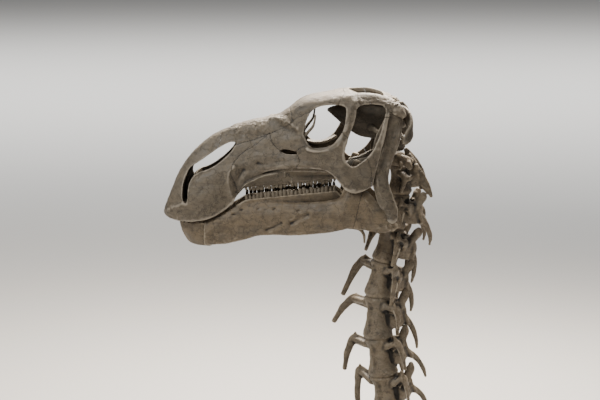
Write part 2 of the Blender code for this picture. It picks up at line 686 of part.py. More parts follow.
def vertebra(length, girth, heads_meet, rib_tip, hook):
    """The parts of a neck vertebra with its two ribs, in its own frame."""
    def scaled(points):
        return [(x * girth, y * girth, z * length / 2) for x, y, z in points]

    centrum = [(0, 0, z) for z, _, _ in CENTRUM]
    keel = [(0, y, z) for y, z, _ in KEEL]
    arch = [(x, y, 0) for x, y in ARCH]
    spine = [(0, y, z) for y, z in SPINE]
    thickness, tall = ARCH_GIRTH
    rear = [(.020 * girth, .080 * girth, -.05 * length),
            (hook[0] * .85, hook[1] * .5 + .052 * girth, hook[2] * .45),
            (hook[0], hook[1] * .97, hook[2] * .8), hook]
    bend = Vector(heads_meet).lerp(rib_tip, RIB_BEND) + Vector((.004, 0, 0))
    across, low = scaled(CROSS_PROCESS), scaled(LOWER_PROCESS)
    parts = [tube(scaled(centrum), [(w * girth, d * girth) for _, w, d in CENTRUM], 10),
             tube(scaled(keel), [(.006, w) for _, _, w in KEEL]),
             tube(scaled(arch), [(thickness * girth, tall * length / 2)] * len(ARCH), 8, UPRIGHT),
             tube(scaled(spine), [(.010, .008), (.012, .009), (.008, .006)], 6)]
    for path, radii in ((scaled(FRONT_PROCESS), [.015, .012, .007]),
                        (rear, [.015, .0125, .010, .005]),
                        (across, [(.012, .016), .011, .010]),
                        (low, [.013, .011]),
                        ([across[-1], heads_meet], [.009, .0095]),
                        ([low[-1], heads_meet], [.009, .0095])):
        parts += [tube(one, radii, 8, UPRIGHT) for one in both_sides(path)]
    shaft = [heads_meet, bend, rib_tip]
    parts += [tube(one, [(.0095, .013), (.0075, .012), .0045], 8, UPRIGHT, 2) for one in both_sides(shaft)]
    return parts


def atlas_parts():
    """A ring round the spinal cord, its thick floor, and two small wings that point down."""
    radius, girth = .044, (.011, .018)
    turns = np.linspace(0, 2 * math.pi, 13)
    ring = [(radius * math.sin(a), radius / 2 - radius * math.cos(a), 0) for a in turns]
    parts = [tube(half_ring, [girth] * 7, 8, UPRIGHT) for half_ring in (ring[:7], ring[6:])]
    parts.append(tube([(0, -.016, -.004), (0, .002, -.004)], [(.036, .018), (.030, .014)], 8, UPRIGHT))
    parts += [tube(wing, [.012, .010, .006])
              for wing in both_sides([(.040, .010, 0), (.058, .004, -.010), (.066, .002, -.026)])]
    return parts


def axis_parts():
    """The body with its peg for the atlas, the arch with its long blade, and the joint and side processes."""
    parts = [tube([(0, 0, z) for z in (-.048, -.034, 0, .030, .046)],
                  [(.044, .039), (.045, .040), (.032, .030), (.036, .032), (.030, .026)], 10),
             tube([(0, .012, .040), (0, .012, .066)], [.016, .010]),
             tube([(-.026, .022, 0), (-.030, .050, 0), (0, .066, 0), (.030, .050, 0), (.026, .022, 0)],
                  [(.011, .034)] * 5, 8, UPRIGHT),
             tube([(0, .022, .098), (0, .048, .050), (0, .068, .005), (0, .080, -.032)],
                  [(.007, .008), (.009, .016), (.009, .020), (.010, .014)], 8, steps=2)]
    for path, radii in (([(.014, .066, .010), (.026, .086, -.025), (.032, .102, -.064)], [.014, .012, .006]),
                        ([(.028, .040, .012), (.050, .020, .002)], [.011, .009]),
                        ([(.032, .000, .020), (.050, .010, .004), (.060, -.004, -.040)], [.011, .008, .004])):
        parts += [tube(one, radii, 8, UPRIGHT) for one in both_sides(path)]
    return parts


def neck_bone(parts, place, faces=VERTEBRA_FACES):
    """A neck bone from its parts, put where it belongs."""
    for part in parts:
        part.data.transform(place)
    return grown_together(parts, faces)


neck = {"atlas": neck_bone(atlas_parts(), neck_frame(JOINTS[0], JOINTS[1], ATLAS_TURN)[0], ATLAS_FACES),
        "axis": neck_bone(axis_parts(), neck_frame(JOINTS[1], JOINTS[2], AXIS_TURN)[0])}
for (name, (turn, *shape)), upper, lower in zip(VERTEBRAE.items(), JOINTS[2:], JOINTS[3:]):
    place, length = neck_frame(upper, lower, turn)
    neck[name] = neck_bone(vertebra(length, *shape), place)


# ---------------------------------------------------------------- the stand
def plate(bm):
    """A flat steel plate with rounded corners and a small bevel round its top."""
    length, width, height = BASE_SIZE
    place = Matrix.Translation((0, 0, height / 2)) @ Matrix.Diagonal((length, width, height, 1))
    bmesh.ops.create_cube(bm, size=1, matrix=place)
    corners = [e for e in bm.edges if abs(e.verts[0].co.z - e.verts[1].co.z) > height / 2]
    bmesh.ops.bevel(bm, geom=corners, offset=BASE_EDGE * 3, segments=3, profile=.5, affect="EDGES")
    rim = [e for e in bm.edges if all(v.co.z > height / 2 for v in e.verts)]
    bmesh.ops.bevel(bm, geom=rim, offset=BASE_EDGE, segments=1, profile=.5, affect="EDGES")


def turned(profile):
    """A body turned from (radius, height) points about the upright line of the post."""
    turns = [2 * math.pi * k / TURNED_SIDES for k in range(TURNED_SIDES)]
    return lofted([[(POST_X + r * math.cos(a), r * math.sin(a), z) for a in turns] for r, z in profile])


base = object_of(plate)
foot = BASE_SIZE[2] + GAP
post = turned([(FLANGE_RADIUS, foot), (FLANGE_RADIUS, foot + FLANGE_HEIGHT),
               (POST_RADIUS, foot + FLANGE_HEIGHT), (POST_RADIUS, POST_TOP)])
cup = turned([(POST_RADIUS * 1.2, POST_TOP + GAP), (CUP_RADIUS, POST_TOP + CUP_CONE), (CUP_RADIUS, CUP_TOP),
              (CUP_RADIUS / 2, CUP_TOP)])


# ---------------------------------------------------------------- bones meet without overlap
fit(braincase, parietal)
fit_both(braincase, half["frontal"], squamosal, quadrate)
fit_both(palate, quadrate, maxilla, half["jugal"])
fit(palate, braincase)
braincase.data.transform(AT_SKULL)
fit(neck["atlas"], braincase)
for upper, lower in zip(list(neck), list(neck)[1:]):
    fit(neck[upper], neck[lower])
fit(cup, neck["cervical_8"])

# the skull's paired bones that meet in the middle end just short of it
for name in ("premaxilla", "nasal", "frontal", "maxilla"):
    combine(half[name], slab([(-.05, -.2), (.9, -.2), (.9, .6), (-.05, .6)], -.05, SUTURE / 2))

pairs = {name: half[name] for name in BONES if name != "parietal"}
pairs.update(quadrate=quadrate, palpebral=palpebral, dentary=dentary, surangular=surangular, hyoid=hyoid)
for name, right in pairs.items():
    finish(copied(right, flip=True), name + "_left", bone, AT_SKULL)
    finish(right, name + "_right", bone, AT_SKULL)
for name, middle in {"parietal": parietal, "palate": palate, "predentary": predentary}.items():
    finish(middle, name, bone, AT_SKULL)
finish(braincase, "braincase", bone)
for name, one in neck.items():
    finish(one, name, bone)
finish(base, "stand_base", steel)
finish(post, "stand_post", steel)
finish(cup, "stand_cup", steel)
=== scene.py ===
"""The skull and neck of a large iguanodont, as a museum mounts them, on a blackened steel stand.

Metres, +Z up. The skull's sizes are in its own frame: X back from the tip of the beak, Y out from the
middle, Z up. A vertebra's sizes are in its own frame too: x to its left, y to its back, z towards the head.
"""
import math

import bmesh
import bpy
import numpy as np
from mathutils import Matrix, Vector, noise


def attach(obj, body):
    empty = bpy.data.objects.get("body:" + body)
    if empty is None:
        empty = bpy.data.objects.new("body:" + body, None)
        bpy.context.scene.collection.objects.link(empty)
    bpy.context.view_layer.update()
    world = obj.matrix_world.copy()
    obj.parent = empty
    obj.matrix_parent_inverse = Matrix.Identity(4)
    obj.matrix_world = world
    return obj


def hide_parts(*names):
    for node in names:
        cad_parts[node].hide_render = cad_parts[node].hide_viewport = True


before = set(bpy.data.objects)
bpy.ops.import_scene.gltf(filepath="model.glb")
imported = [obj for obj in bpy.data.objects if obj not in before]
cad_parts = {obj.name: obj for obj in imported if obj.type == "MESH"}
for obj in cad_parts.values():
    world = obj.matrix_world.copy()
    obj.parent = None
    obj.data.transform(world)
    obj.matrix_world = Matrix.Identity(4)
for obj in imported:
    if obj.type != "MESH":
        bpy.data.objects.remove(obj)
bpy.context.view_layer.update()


# ---------------------------------------------------------------- fossil bone
# Bone turned to stone, grey-brown all through: pale on ridges, partly as wear and partly as painted
# highlight; near black in pores and joint lines, with painted shade darkening its crevices and the places
# that other bone stands near. A thin museum lacquer on a matt ground gives it a faint, broken shine.
def paint(hex_colour):
    """Linear colour from an sRGB hex value."""
    parts = [int(hex_colour[i:i + 2], 16) / 255 for i in (1, 3, 5)]
    return (*[p / 12.92 if p <= .04045 else ((p + .055) / 1.055)**2.4 for p in parts], 1)


def add(tree, kind, inputs, stops=(), **settings):
    """Adds a node; inputs are values or sockets to link, stops a ramp's colours. Returns its outputs."""
    node = tree.nodes.new("ShaderNode" + kind)
    for name, value in settings.items():
        setattr(node, name, value)
    for key, value in inputs.items():
        if isinstance(value, bpy.types.NodeSocket):
            tree.links.new(value, node.inputs[key])
        else:
            node.inputs[key].default_value = value
    while len(stops) > len(node.color_ramp.elements if stops else ()):
        node.color_ramp.elements.new(1)
    for i, (place, colour) in enumerate(stops):
        node.color_ramp.elements[i].position = place
        node.color_ramp.elements[i].color = colour
    return node.outputs


BLACK, WHITE = (0, 0, 0, 1), (1, 1, 1, 1)
CLOUD, BLOTCH, SPECK = .070, .022, .0032  # sizes of the stains; real pores are finer, drawn to show
STREAK = (.060, .009)  # the bone's grain, along and across
CRACK_APART, CRACK_WIDTH = .055, .030
SHADE_REACH = .045  # how near a neighbour must stand to paint shade on a place


def fossil(name, body, warm, pale, dark):
    """Fossil bone. Its "relief" is 0 deep in crevices and on cut faces, a half on flats and 1 on ridges."""
    look = bpy.data.materials.new(name)
    look.use_nodes = True
    tree = look.node_tree
    place = add(tree, "TexCoord", {})["Object"]
    relief = add(tree, "Attribute", {}, attribute_name="relief")["Fac"]

    def stains(size, detail, roughness, bend=0, where=place):
        return add(tree, "TexNoise", {"Vector": where, "Scale": 1 / size, "Detail": detail,
                                      "Roughness": roughness, "Distortion": bend})

    def ramp(source, *stops):
        return add(tree, "ValToRGB", {"Fac": source}, stops)["Color"]

    def mix(amount, under, over, blend="MULTIPLY"):
        return add(tree, "Mix", {0: amount, 6: under, 7: over}, data_type="RGBA", blend_type=blend)[2]

    blotches = stains(BLOTCH, 5, .6, .6)["Fac"]
    along, across = STREAK
    grain = add(tree, "Mapping", {"Vector": place, "Scale": (1 / along, 1 / across, 1 / across)})["Vector"]
    streaks = stains(1, 4, .65, where=grain)["Fac"]
    specks = stains(SPECK, 3, .7)["Fac"]
    bent = stains(CRACK_APART / 2, 3, .5)["Color"]
    wandering = add(tree, "Mix", {0: .06, 4: place, 5: bent}, data_type="VECTOR")[1]
    cells = add(tree, "TexVoronoi", {"Vector": wandering, "Scale": 1 / CRACK_APART},
                feature="DISTANCE_TO_EDGE")["Distance"]
    cracks = ramp(cells, (.2 * CRACK_WIDTH, (.25, .25, .25, 1)), (CRACK_WIDTH, WHITE))
    colour = ramp(stains(CLOUD, 6, .62)["Fac"], (.30, paint(body)), (.52, paint(warm)), (.72, paint(body)))
    for source, amount, stops in (
            (blotches, .60, ((.36, (.45, .43, .42, 1)), (.56, WHITE))),
            (streaks, .55, ((.36, (.62, .60, .58, 1)), (.52, WHITE), (.70, (1, .97, .92, 1)))),
            (specks, .70, ((.34, (.55, .52, .48, 1)), (.46, WHITE)))):
        colour = mix(amount, colour, ramp(source, *stops))
    colour = mix(.55, colour, cracks)
    # painted shade: a place with bone near it is darkened towards a dark brown, as shade would fall in
    # recesses
    painted_shade = add(tree, "AmbientOcclusion", {"Distance": SHADE_REACH}, samples=8)["AO"]
    colour = mix(1, colour, ramp(painted_shade, (.10, (.30, .27, .25, 1)), (.75, WHITE)))
    # painted highlight and shade from the relief: ridges go towards the pale tone, partly as wear and partly
    # as painted highlight; crevices go towards the dark tone as painted shade, and cut joint faces as dark
    # joints
    for tone, stops in ((pale, ((.64, BLACK), (1, WHITE))), (dark, ((.06, WHITE), (.43, BLACK)))):
        colour = mix(ramp(relief, *stops), colour, paint(tone), "MIX")
    rough = add(tree, "MapRange", {"Value": blotches, "From Min": .35, "From Max": .65,
                                   "To Min": .48, "To Max": .70})["Result"]
    height = specks
    for source, share in ((streaks, 2.5), (cracks, 2.0)):
        height = add(tree, "Math", {0: source, 1: share, 2: height}, operation="MULTIPLY_ADD")[0]
    bump = add(tree, "Bump", {"Strength": .5, "Distance": .0007, "Height": height})["Normal"]
    shader = tree.nodes["Principled BSDF"]
    tree.links.new(colour, shader.inputs["Base Color"])
    tree.links.new(rough, shader.inputs["Roughness"])
    tree.links.new(bump, shader.inputs["Normal"])
    shader.inputs["Specular IOR Level"].default_value = .42
    return look


# the last two colours: the ridge tone, for wear and painted highlight, and the crevice tone, for painted
# shade and dark joints
skull_bone = fossil("fossil_skull_bone", "#5a544a", "#655c4e", "#a1988a", "#1b1815")

# ---------------------------------------------------------------- the skull's outer bones
# Nineteen bones form the beak, the cheeks, the roof and the arches round the eyes. They are plates and bars
# about a centimetre thick that meet in joint lines. The head is cast whole here and then parted along them.
BEAK_TIP = Vector((-.612, 0, .921))
AT_SKULL = Matrix.Translation(BEAK_TIP)
GRAIN = .0023  # finest detail of the skull's shape
WALL = .010  # thickness of the bone round the hollow head
HOLLOW_START = .095  # X where the nose passage reaches its full size
FLOOR_END = .200  # X where the bone under the nose passage ends
# four lines from the beak's tip to the back of the head
CREST = [(0, 0, .014), (.009, 0, .043), (.029, 0, .094), (.055, 0, .153), (.109, 0, .226), (.185, 0, .282),
         (.282, 0, .317), (.383, 0, .338), (.464, 0, .396), (.540, 0, .413), (.624, 0, .416),
         (.690, 0, .388), (.765, 0, .386)]
BROW = [(.001, .013, .012), (.011, .035, .041), (.035, .045, .094), (.065, .042, .151), (.119, .038, .211),
        (.192, .038, .264), (.285, .045, .300), (.383, .060, .324), (.464, .082, .370), (.540, .105, .392),
        (.624, .118, .404), (.690, .111, .414), (.758, .102, .396)]
FLANK = [(.002, .014, .008), (.018, .045, .024), (.047, .068, .048), (.087, .082, .074), (.148, .085, .098),
         (.208, .078, .138), (.289, .080, .180), (.376, .095, .202), (.463, .118, .215), (.544, .135, .218),
         (.617, .145, .227), (.678, .143, .243), (.732, .132, .276)]
HEM = [(.005, .012, .002), (.024, .038, -.006), (.057, .062, -.010), (.101, .074, -.010), (.161, .076, .002),
       (.218, .072, .040), (.265, .074, .107), (.349, .088, .160), (.456, .112, .174), (.547, .130, .165),
       (.614, .138, .102), (.658, .138, .100), (.695, .132, .116)]
# openings of the side, seen from the side: X, Z
NARIS = [(.255, .258), (.232, .259), (.195, .241), (.154, .213), (.121, .190), (.091, .169), (.076, .142),
         (.067, .108), (.067, .067), (.077, .050), (.084, .067), (.086, .101), (.094, .128), (.117, .151),
         (.154, .164), (.195, .190), (.232, .224)]
ORBIT = [(.466, .287), (.473, .321), (.493, .362), (.530, .381), (.577, .384), (.607, .376), (.606, .335),
         (.596, .298), (.570, .260), (.540, .240), (.510, .235), (.483, .253)]
TEMPORAL = [(.651, .384), (.698, .388), (.738, .377), (.732, .330), (.715, .275), (.690, .226), (.658, .197),
            (.628, .182), (.604, .204), (.601, .235), (.614, .276), (.634, .330), (.641, .367)]
ANTORBITAL = [(.388, .229), (.405, .233), (.430, .231), (.448, .223), (.430, .219), (.405, .221)]
# upper jaw inside the cheek: X, and its shelf's Y, Z at the cheek's lower edge
FRONT_SHELF = [(.228, .062, .052), (.250, .066, .086), (.274, .070, .122), (.300, .074, .138),
               (.349, .080, .158), (.434, .099, .169)]
REAR_SHELF = [(.402, .089, .161), (.430, .096, .164), (.500, .110, .165), (.547, .116, .163),
              (.585, .116, .150)]
TEETH_X = (.272, .578)
UPPER_TIPS = (.088, .118)  # heights of the tips at the row's front and rear end
CROWN_SHOWN = .015  # how far the crowns stand out of the bone
# joint lines of the side: X, Z
JOINTS_OF_SIDE = [
    [(.188, .330), (.198, .283), (.176, .205)],  # premaxilla, nasal, above the nostril
    [(.262, .020), (.248, .076), (.245, .110), (.228, .158), (.255, .209), (.309, .246), (.357, .285)],
    [(.218, .236), (.250, .247), (.309, .264), (.357, .284)],  # premaxilla, nasal, behind the nostril
    [(.356, .283), (.409, .307), (.434, .328)],  # nasal over maxilla and lacrimal
    [(.433, .326), (.426, .359), (.414, .420)],  # nasal, frontal
    [(.356, .286), (.369, .249), (.396, .226)],  # maxilla, lacrimal
    [(.440, .226), (.456, .201), (.443, .170), (.440, .130)],  # maxilla, jugal
    [(.440, .226), (.466, .246), (.492, .254)],  # lacrimal, jugal
    [(.432, .328), (.463, .346), (.503, .366)],  # lacrimal, frontal
    [(.578, .374), (.591, .403), (.621, .440)],  # frontal, postorbital, parietal
    [(.585, .307), (.607, .282), (.626, .271)],  # jugal, postorbital
    [(.669, .225), (.691, .167), (.688, .080)],  # jugal, quadratojugal
    [(.722, .343), (.790, .343)],  # quadratojugal, squamosal
]
BAR_JOINT = [(.697, .376), (.678, .405), (.668, .440)]  # postorbital, squamosal
PARIETAL_EDGE = .045  # Y of the joint beside the parietal
JOINT_GAP = .0006
MIDLINE_END, PARIETAL_START = .606, .585  # X where the joints on the roof end and start
CAST_COLUMNS, CAST_ROWS = 170, 50
# a point on each bone of the right side
OUTER_BONES = {
    "premaxilla": (.12, .085, .06), "nasal": (.32, .045, .29), "maxilla": (.33, .09, .185),
    "lacrimal": (.42, .09, .27), "frontal": (.53, .08, .395), "postorbital": (.62, .13, .35),
    "squamosal": (.74, .11, .38), "jugal": (.56, .135, .19), "quadratojugal": (.70, .135, .20),
}
# Relief of the side: X, Z points, width, height
SIDE_RELIEF = [
    # beak and nostril
    ([(.088, .062), (.091, .100), (.099, .135), (.120, .156), (.154, .166)], .020, -.0060),
    ([(.100, .104), (.130, .105), (.165, .100)], .012, .0014),
    ([(.020, .028), (.045, .040), (.066, .050), (.082, .050)], .014, .0040),
    ([(.040, .020), (.070, .026), (.110, .022), (.160, .026)], .022, -.0040),
    ([(.050, .002), (.100, -.002), (.160, .008), (.205, .034)], .014, .0022),
    ([(.150, .060), (.190, .075)], .060, .0050),
    ([(.120, .125), (.160, .135), (.200, .160)], .034, .0030),
    ([(.238, .175), (.222, .150), (.219, .120), (.226, .085), (.234, .060), (.224, .038)], .022, .0075),
    ([(.268, .162), (.254, .134), (.247, .104), (.251, .078)], .020, -.0110),
    # maxilla, nasal and the hollow before the eye
    ([(.318, .187), (.333, .183), (.348, .184)], .010, -.0050),
    ([(.290, .204), (.330, .208), (.370, .214)], .030, .0030),
    ([(.360, .240), (.400, .226), (.452, .214)], .034, -.0065),
    ([(.300, .144), (.340, .164), (.400, .179), (.460, .184), (.520, .180)], .018, .0030),
    ([(.290, .165), (.340, .186), (.400, .196)], .018, -.0025),
    ([(.236, .286), (.252, .290)], .024, .0035),
    ([(.285, .292), (.300, .298), (.330, .300)], .022, .0035),
    ([(.300, .268), (.345, .280), (.385, .292)], .026, -.0035),
    ([(.365, .331), (.400, .329), (.425, .319), (.446, .306)], .016, .0065),
    ([(.388, .310), (.412, .302), (.440, .288)], .018, -.0045),
    ([(.405, .262), (.432, .266), (.456, .280)], .026, .0035),
    # round the eye
    ([(.455, .300), (.462, .332), (.484, .370), (.528, .391), (.580, .394), (.612, .388)], .016, .0025),
    ([(.458, .270), (.476, .244), (.508, .224), (.545, .228), (.578, .250), (.600, .285)], .018, .0028),
    ([(.470, .203), (.520, .198), (.565, .208)], .036, -.0060),
    ([(.598, .262), (.590, .225), (.592, .180), (.606, .140), (.625, .112)], .034, .0050),
    ([(.622, .275), (.632, .310), (.642, .350)], .014, -.0025),
    ([(.606, .300), (.616, .335), (.622, .370)], .016, .0035),
    # cheek flange, arches and the back
    ([(.580, .150), (.596, .116), (.628, .103), (.662, .106)], .016, .0020),
    ([(.645, .145), (.655, .175), (.675, .200)], .036, -.0035),
    ([(.636, .392), (.664, .396)], .020, .0060),
    ([(.618, .402), (.636, .410)], .014, -.0035),
    ([(.680, .394), (.710, .394), (.734, .386)], .014, .0030),
    ([(.716, .240), (.738, .300), (.748, .345)], .016, .0030),
    ([(.700, .180), (.708, .210), (.724, .245)], .018, -.0030),
]
ROOF_RELIEF = [  # X, Y points on the top
    ([(.400, .000), (.470, .000), (.600, .000)], .012, -.0020),
    ([(.430, .040), (.500, .052), (.560, .060)], .050, -.0035),
    ([(.450, .076), (.490, .092), (.540, .104), (.600, .112), (.630, .114)], .020, .0030),
    ([(.620, .000), (.690, .000), (.760, .000)], .016, .0040),
    ([(.240, .018), (.300, .022), (.360, .030)], .020, .0020),
    ([(.150, .020), (.200, .020), (.260, .024)], .016, -.0015),
]
ROUGH_SPOTS = [  # centre, radius, height of scars where muscle and horn held on
    ((.650, .128, .386), .030, .0040), ((.760, .108, .376), .045, .0045), ((.250, .040, .288), .045, .0025),
    ((.320, .048, .298), .045, .0025), ((.410, .062, .322), .045, .0030), ((.030, .040, .030), .055, .0022),
    ((.620, .138, .110), .040, .0025), ((.600, .110, .392), .040, .0015),
]


def through(points, at):
    """Places on the smooth curve through the points; 0 is the first point, 1 the second."""
    knots = np.array(points, float)
    knots = np.vstack([2 * knots[0] - knots[1], knots, 2 * knots[-1] - knots[-2]])
    at = np.atleast_1d(at)
    first = np.clip(np.floor(at).astype(int), 0, len(points) - 2)
    f = (at - first)[:, None]
    a, b, c, d = (knots[first + i] for i in range(4))
    return .5 * (2 * b + (c - a) * f + (2 * a - 5 * b + 4 * c - d) * f**2 + (3 * b - a - 3 * c + d) * f**3)


def evenly(points, count):
    """That many places on the smooth curve through the points, from end to end."""
    return through(points, np.linspace(0, len(points) - 1, count))


def placed(bm, name="work"):
    """An object from a bmesh, which is used up."""
    mesh = bpy.data.meshes.new(name)
    bm.to_mesh(mesh)
    bm.free()
    result = bpy.data.objects.new(name, mesh)
    bpy.context.scene.collection.objects.link(result)
    return result


def skin(rings):
    """A closed body through rings of points: a grid laid over them, its seam welded and its ends filled."""
    rings = np.array(rings, float)
    count, around = rings.shape[:2]
    bm = bmesh.new()
    bmesh.ops.create_grid(bm, x_segments=around, y_segments=count - 1, size=1)
    for vert, point in zip(bm.verts, np.concatenate([rings, rings[:, :1]], axis=1).reshape(-1, 3)):
        vert.co = point
    bmesh.ops.remove_doubles(bm, verts=bm.verts, dist=1e-6)
    bmesh.ops.holes_fill(bm, edges=bm.edges)
    bmesh.ops.triangulate(bm, faces=bm.faces)
    bmesh.ops.recalc_face_normals(bm, faces=bm.faces)
    return placed(bm)


def bar(points, radii, across=(0, 1, 0), sides=16, steps=6):
    """A bar with rounded ends. Radii are numbers, or pairs of square to across and along across."""
    pairs = [(r, r) if np.isscalar(r) else r for r in radii]
    count = (len(points) - 1) * steps + 1
    path, girth = evenly(points, count), np.abs(evenly(pairs, count))
    heading = np.gradient(path, axis=0)
    heading /= np.linalg.norm(heading, axis=1)[:, None]
    second = np.array(across, float) - heading * (heading @ np.array(across, float))[:, None]
    second /= np.linalg.norm(second, axis=1)[:, None]
    first = np.cross(heading, second)
    turns = np.linspace(0, 2 * math.pi, sides, endpoint=False)[None, :, None]
    body = path[:, None] + (first * girth[:, :1])[:, None] * np.cos(turns) \
        + (second * girth[:, 1:])[:, None] * np.sin(turns)
    front = path[0] - heading[0] * girth[0].min() * .55 + (body[0] - path[0]) * .55
    rear = path[-1] + heading[-1] * girth[-1].min() * .55 + (body[-1] - path[-1]) * .55
    return skin([front, *body, rear])


def settle(target):
    """Applies the target's modifiers."""
    graph = bpy.context.evaluated_depsgraph_get()
    graph.update()
    mesh = bpy.data.meshes.new_from_object(target.evaluated_get(graph))
    target.modifiers.clear()
    target.data = mesh


def combine(target, tool, operation="DIFFERENCE"):
    """Cuts the tool from the target or joins it on, and uses the tool up; "relief" is 0 on the cut."""
    modifier = target.modifiers.new("combine", "BOOLEAN")
    modifier.operation = operation
    modifier.solver = "MANIFOLD"
    modifier.object = tool
    settle(target)
    bpy.data.objects.remove(tool)


def copy_of(source, flip=False):
    """A copy, mirrored to the other side if flip."""
    bm = bmesh.new()
    bm.from_mesh(source.data)
    if flip:
        bmesh.ops.transform(bm, matrix=Matrix.Diagonal((1, -1, 1, 1)), verts=bm.verts)
        bmesh.ops.reverse_faces(bm, faces=bm.faces)
    return placed(bm)


def fit(target, *neighbours):
    """Cuts its neighbours' shapes from the target, so that they meet and don't overlap."""
    for neighbour in neighbours:
        combine(target, copy_of(neighbour))


def both_sides(points, mirror=1):
    """The points of a paired process, right and left of the middle; mirror is the axis to flip."""
    flip = np.where(np.arange(3) == mirror, -1, 1)
    return [np.array(points, float), np.array(points, float) * flip]


def pair(points, radii, across=(0, 1, 0), mirror=1):
    """The right and the left bar of a paired process."""
    return [bar(line, radii, across) for line in both_sides(points, mirror)]


def grown(parts, grain, rounds=3, fillet=0.0):
    """One bone from overlapping parts. It swells by the fillet and shrinks back, which fills the corners."""
    bm = bmesh.new()
    for part in parts:
        bm.from_mesh(part.data)
        bpy.data.objects.remove(part)
    result = placed(bm)
    for swell in (fillet, -fillet) if fillet else (0,):
        remesh = result.modifiers.new("grow", "REMESH")
        remesh.mode = "VOXEL"
        remesh.voxel_size = grain
        smooth = result.modifiers.new("smooth", "SMOOTH")
        smooth.factor = .5
        smooth.iterations = rounds
        push = result.modifiers.new("swell", "DISPLACE")
        push.mid_level = 0
        push.strength = swell
    settle(result)
    return result


def places_and_normals(mesh):
    places = np.empty(len(mesh.vertices) * 3, np.float32)
    mesh.vertices.foreach_get("co", places)
    normals = np.empty(len(mesh.vertices) * 3, np.float32)
    mesh.vertex_normals.foreach_get("vector", normals)
    return places.reshape(-1, 3), normals.reshape(-1, 3)


def distance(flat, line):
    """How far flat points lie from a line through points."""
    best = np.full(len(flat), 1e9)
    for a, b in zip(line, line[1:]):
        run = b - a
        t = np.clip(((flat - a) @ run) / max(run @ run, 1e-12), 0, 1)
        best = np.minimum(best, np.linalg.norm(flat - a - t[:, None] * run, axis=1))
    return best


def ripple(places, size):
    """A smooth random value between about -1 and 1 at each place."""
    return np.array([noise.noise(place) for place in (places / size).tolist()])


def carve(target, strokes, plane=(0, 2), across=1):
    """Raises or sinks the surface under wavering strokes seen along an axis, on both sides if paired."""
    places, normals = places_and_normals(target.data)
    facing = 3 - sum(plane)
    for points, width, height in strokes:
        paired = facing == across or all(point[plane.index(across)] for point in points)
        for side in (1, -1)[:1 + paired]:
            line = evenly(points, 4 * len(points)) * [side if axis == across else 1 for axis in plane]
            outward = normals[:, facing] * (side if facing == across else 1)
            flat = places[:, plane]
            near = ((flat > line.min(0) - 1.5 * width) & (flat < line.max(0) + 1.5 * width)).all(axis=1)
            near &= outward > .05
            if facing == across:
                near &= places[:, across] * side > 0
            off = distance(flat[near], line) + .30 * width * ripple(places[near], 1.6 * width + .006)
            bell = np.exp(-(off / (width * .5))**2)
            bell *= .80 + .7 * ripple(places[near] + .5, 2.5 * width + .010)
            places[near] += normals[near] * (height * bell * np.clip(outward[near] * 2.5, 0, 1))[:, None]
    target.data.vertices.foreach_set("co", places.ravel())
    target.data.update()


def roughen(target, spots, grain=.013):
    """Scars: knobbly ground round each centre, on both sides."""
    places, normals = places_and_normals(target.data)
    for centre, radius, height in spots:
        for middle in both_sides([centre]):
            gone = np.linalg.norm(places - middle[0], axis=1) / radius
            for i in np.flatnonzero(gone < 1):
                lump = noise.fractal(Vector(places[i]) / grain, 1, 2, 3)
                places[i] += normals[i] * height * lump * (1 - gone[i]**2)
    target.data.vertices.foreach_set("co", places.ravel())
    target.data.update()


FINE, BROAD = (4, .0016), (24, .0075)  # turns of smoothing, and the height that counts as a full ridge


def mark_relief(target):
    """Writes "relief" from how far each place stands out of its smoothed surroundings, fine and broad."""
    mesh = target.data
    places, normals = places_and_normals(mesh)
    ends = np.empty(len(mesh.edges) * 2, np.int32)
    mesh.edges.foreach_get("vertices", ends)
    one, two = ends.reshape(-1, 2).T
    total = len(places)
    links = np.maximum(np.bincount(one, minlength=total) + np.bincount(two, minlength=total), 1)

    def spread(values):
        return (np.bincount(one, values[two], total) + np.bincount(two, values[one], total)) / links

    smooth, relief = [places[:, i].astype(float) for i in range(3)], .5
    for turn in range(1, BROAD[0] + 1):
        smooth = [spread(values) for values in smooth]
        for turns, full in (FINE, BROAD):
            if turn == turns:
                gap = sum((smooth[i] - places[:, i]) * normals[:, i] for i in range(3))
                relief = relief - .5 * np.clip(gap / full, -.42, 1)
    relief = np.clip(spread(spread(relief)), 0, 1)
    mesh.attributes.new("relief", "FLOAT", "POINT").data.foreach_set("value", relief.astype(np.float32))


def weather(target, *coats):
    """Lumps and dips over the whole surface, each coat with its size and height; then marks the relief."""
    for size, height in coats:
        lumps = bpy.data.textures.new("lumps", "CLOUDS")
        lumps.noise_scale = size
        lumps.noise_depth = 3
        modifier = target.modifiers.new("weather", "DISPLACE")
        modifier.texture = lumps
        modifier.texture_coords = "LOCAL"
        modifier.strength = height
    settle(target)
    mark_relief(target)


def head_rings(columns, rows):
    """Points of the right half's outside, [column, row], crest to hem, and the directions inwards."""
    lines = [evenly(line, columns) for line in (CREST, BROW, FLANK, HEM)]
    rings = [through([brow * (1, -1, 1), crest, brow, flank, hem], np.linspace(1, 4, rows))
             for crest, brow, flank, hem in zip(*lines)]
    rings = np.array(rings)
    inward = np.cross(np.gradient(rings, axis=1), np.gradient(rings, axis=0))
    inward /= np.linalg.norm(inward, axis=2)[:, :, None]
    return rings, inward * -np.sign(inward[columns // 2, rows // 2, 1])


def whole_ring(half):
    """A ring over the whole head from its right half, which runs down from the crest."""
    half = np.array(half)
    return np.vstack([(half * (1, -1, 1))[:0:-1], half])


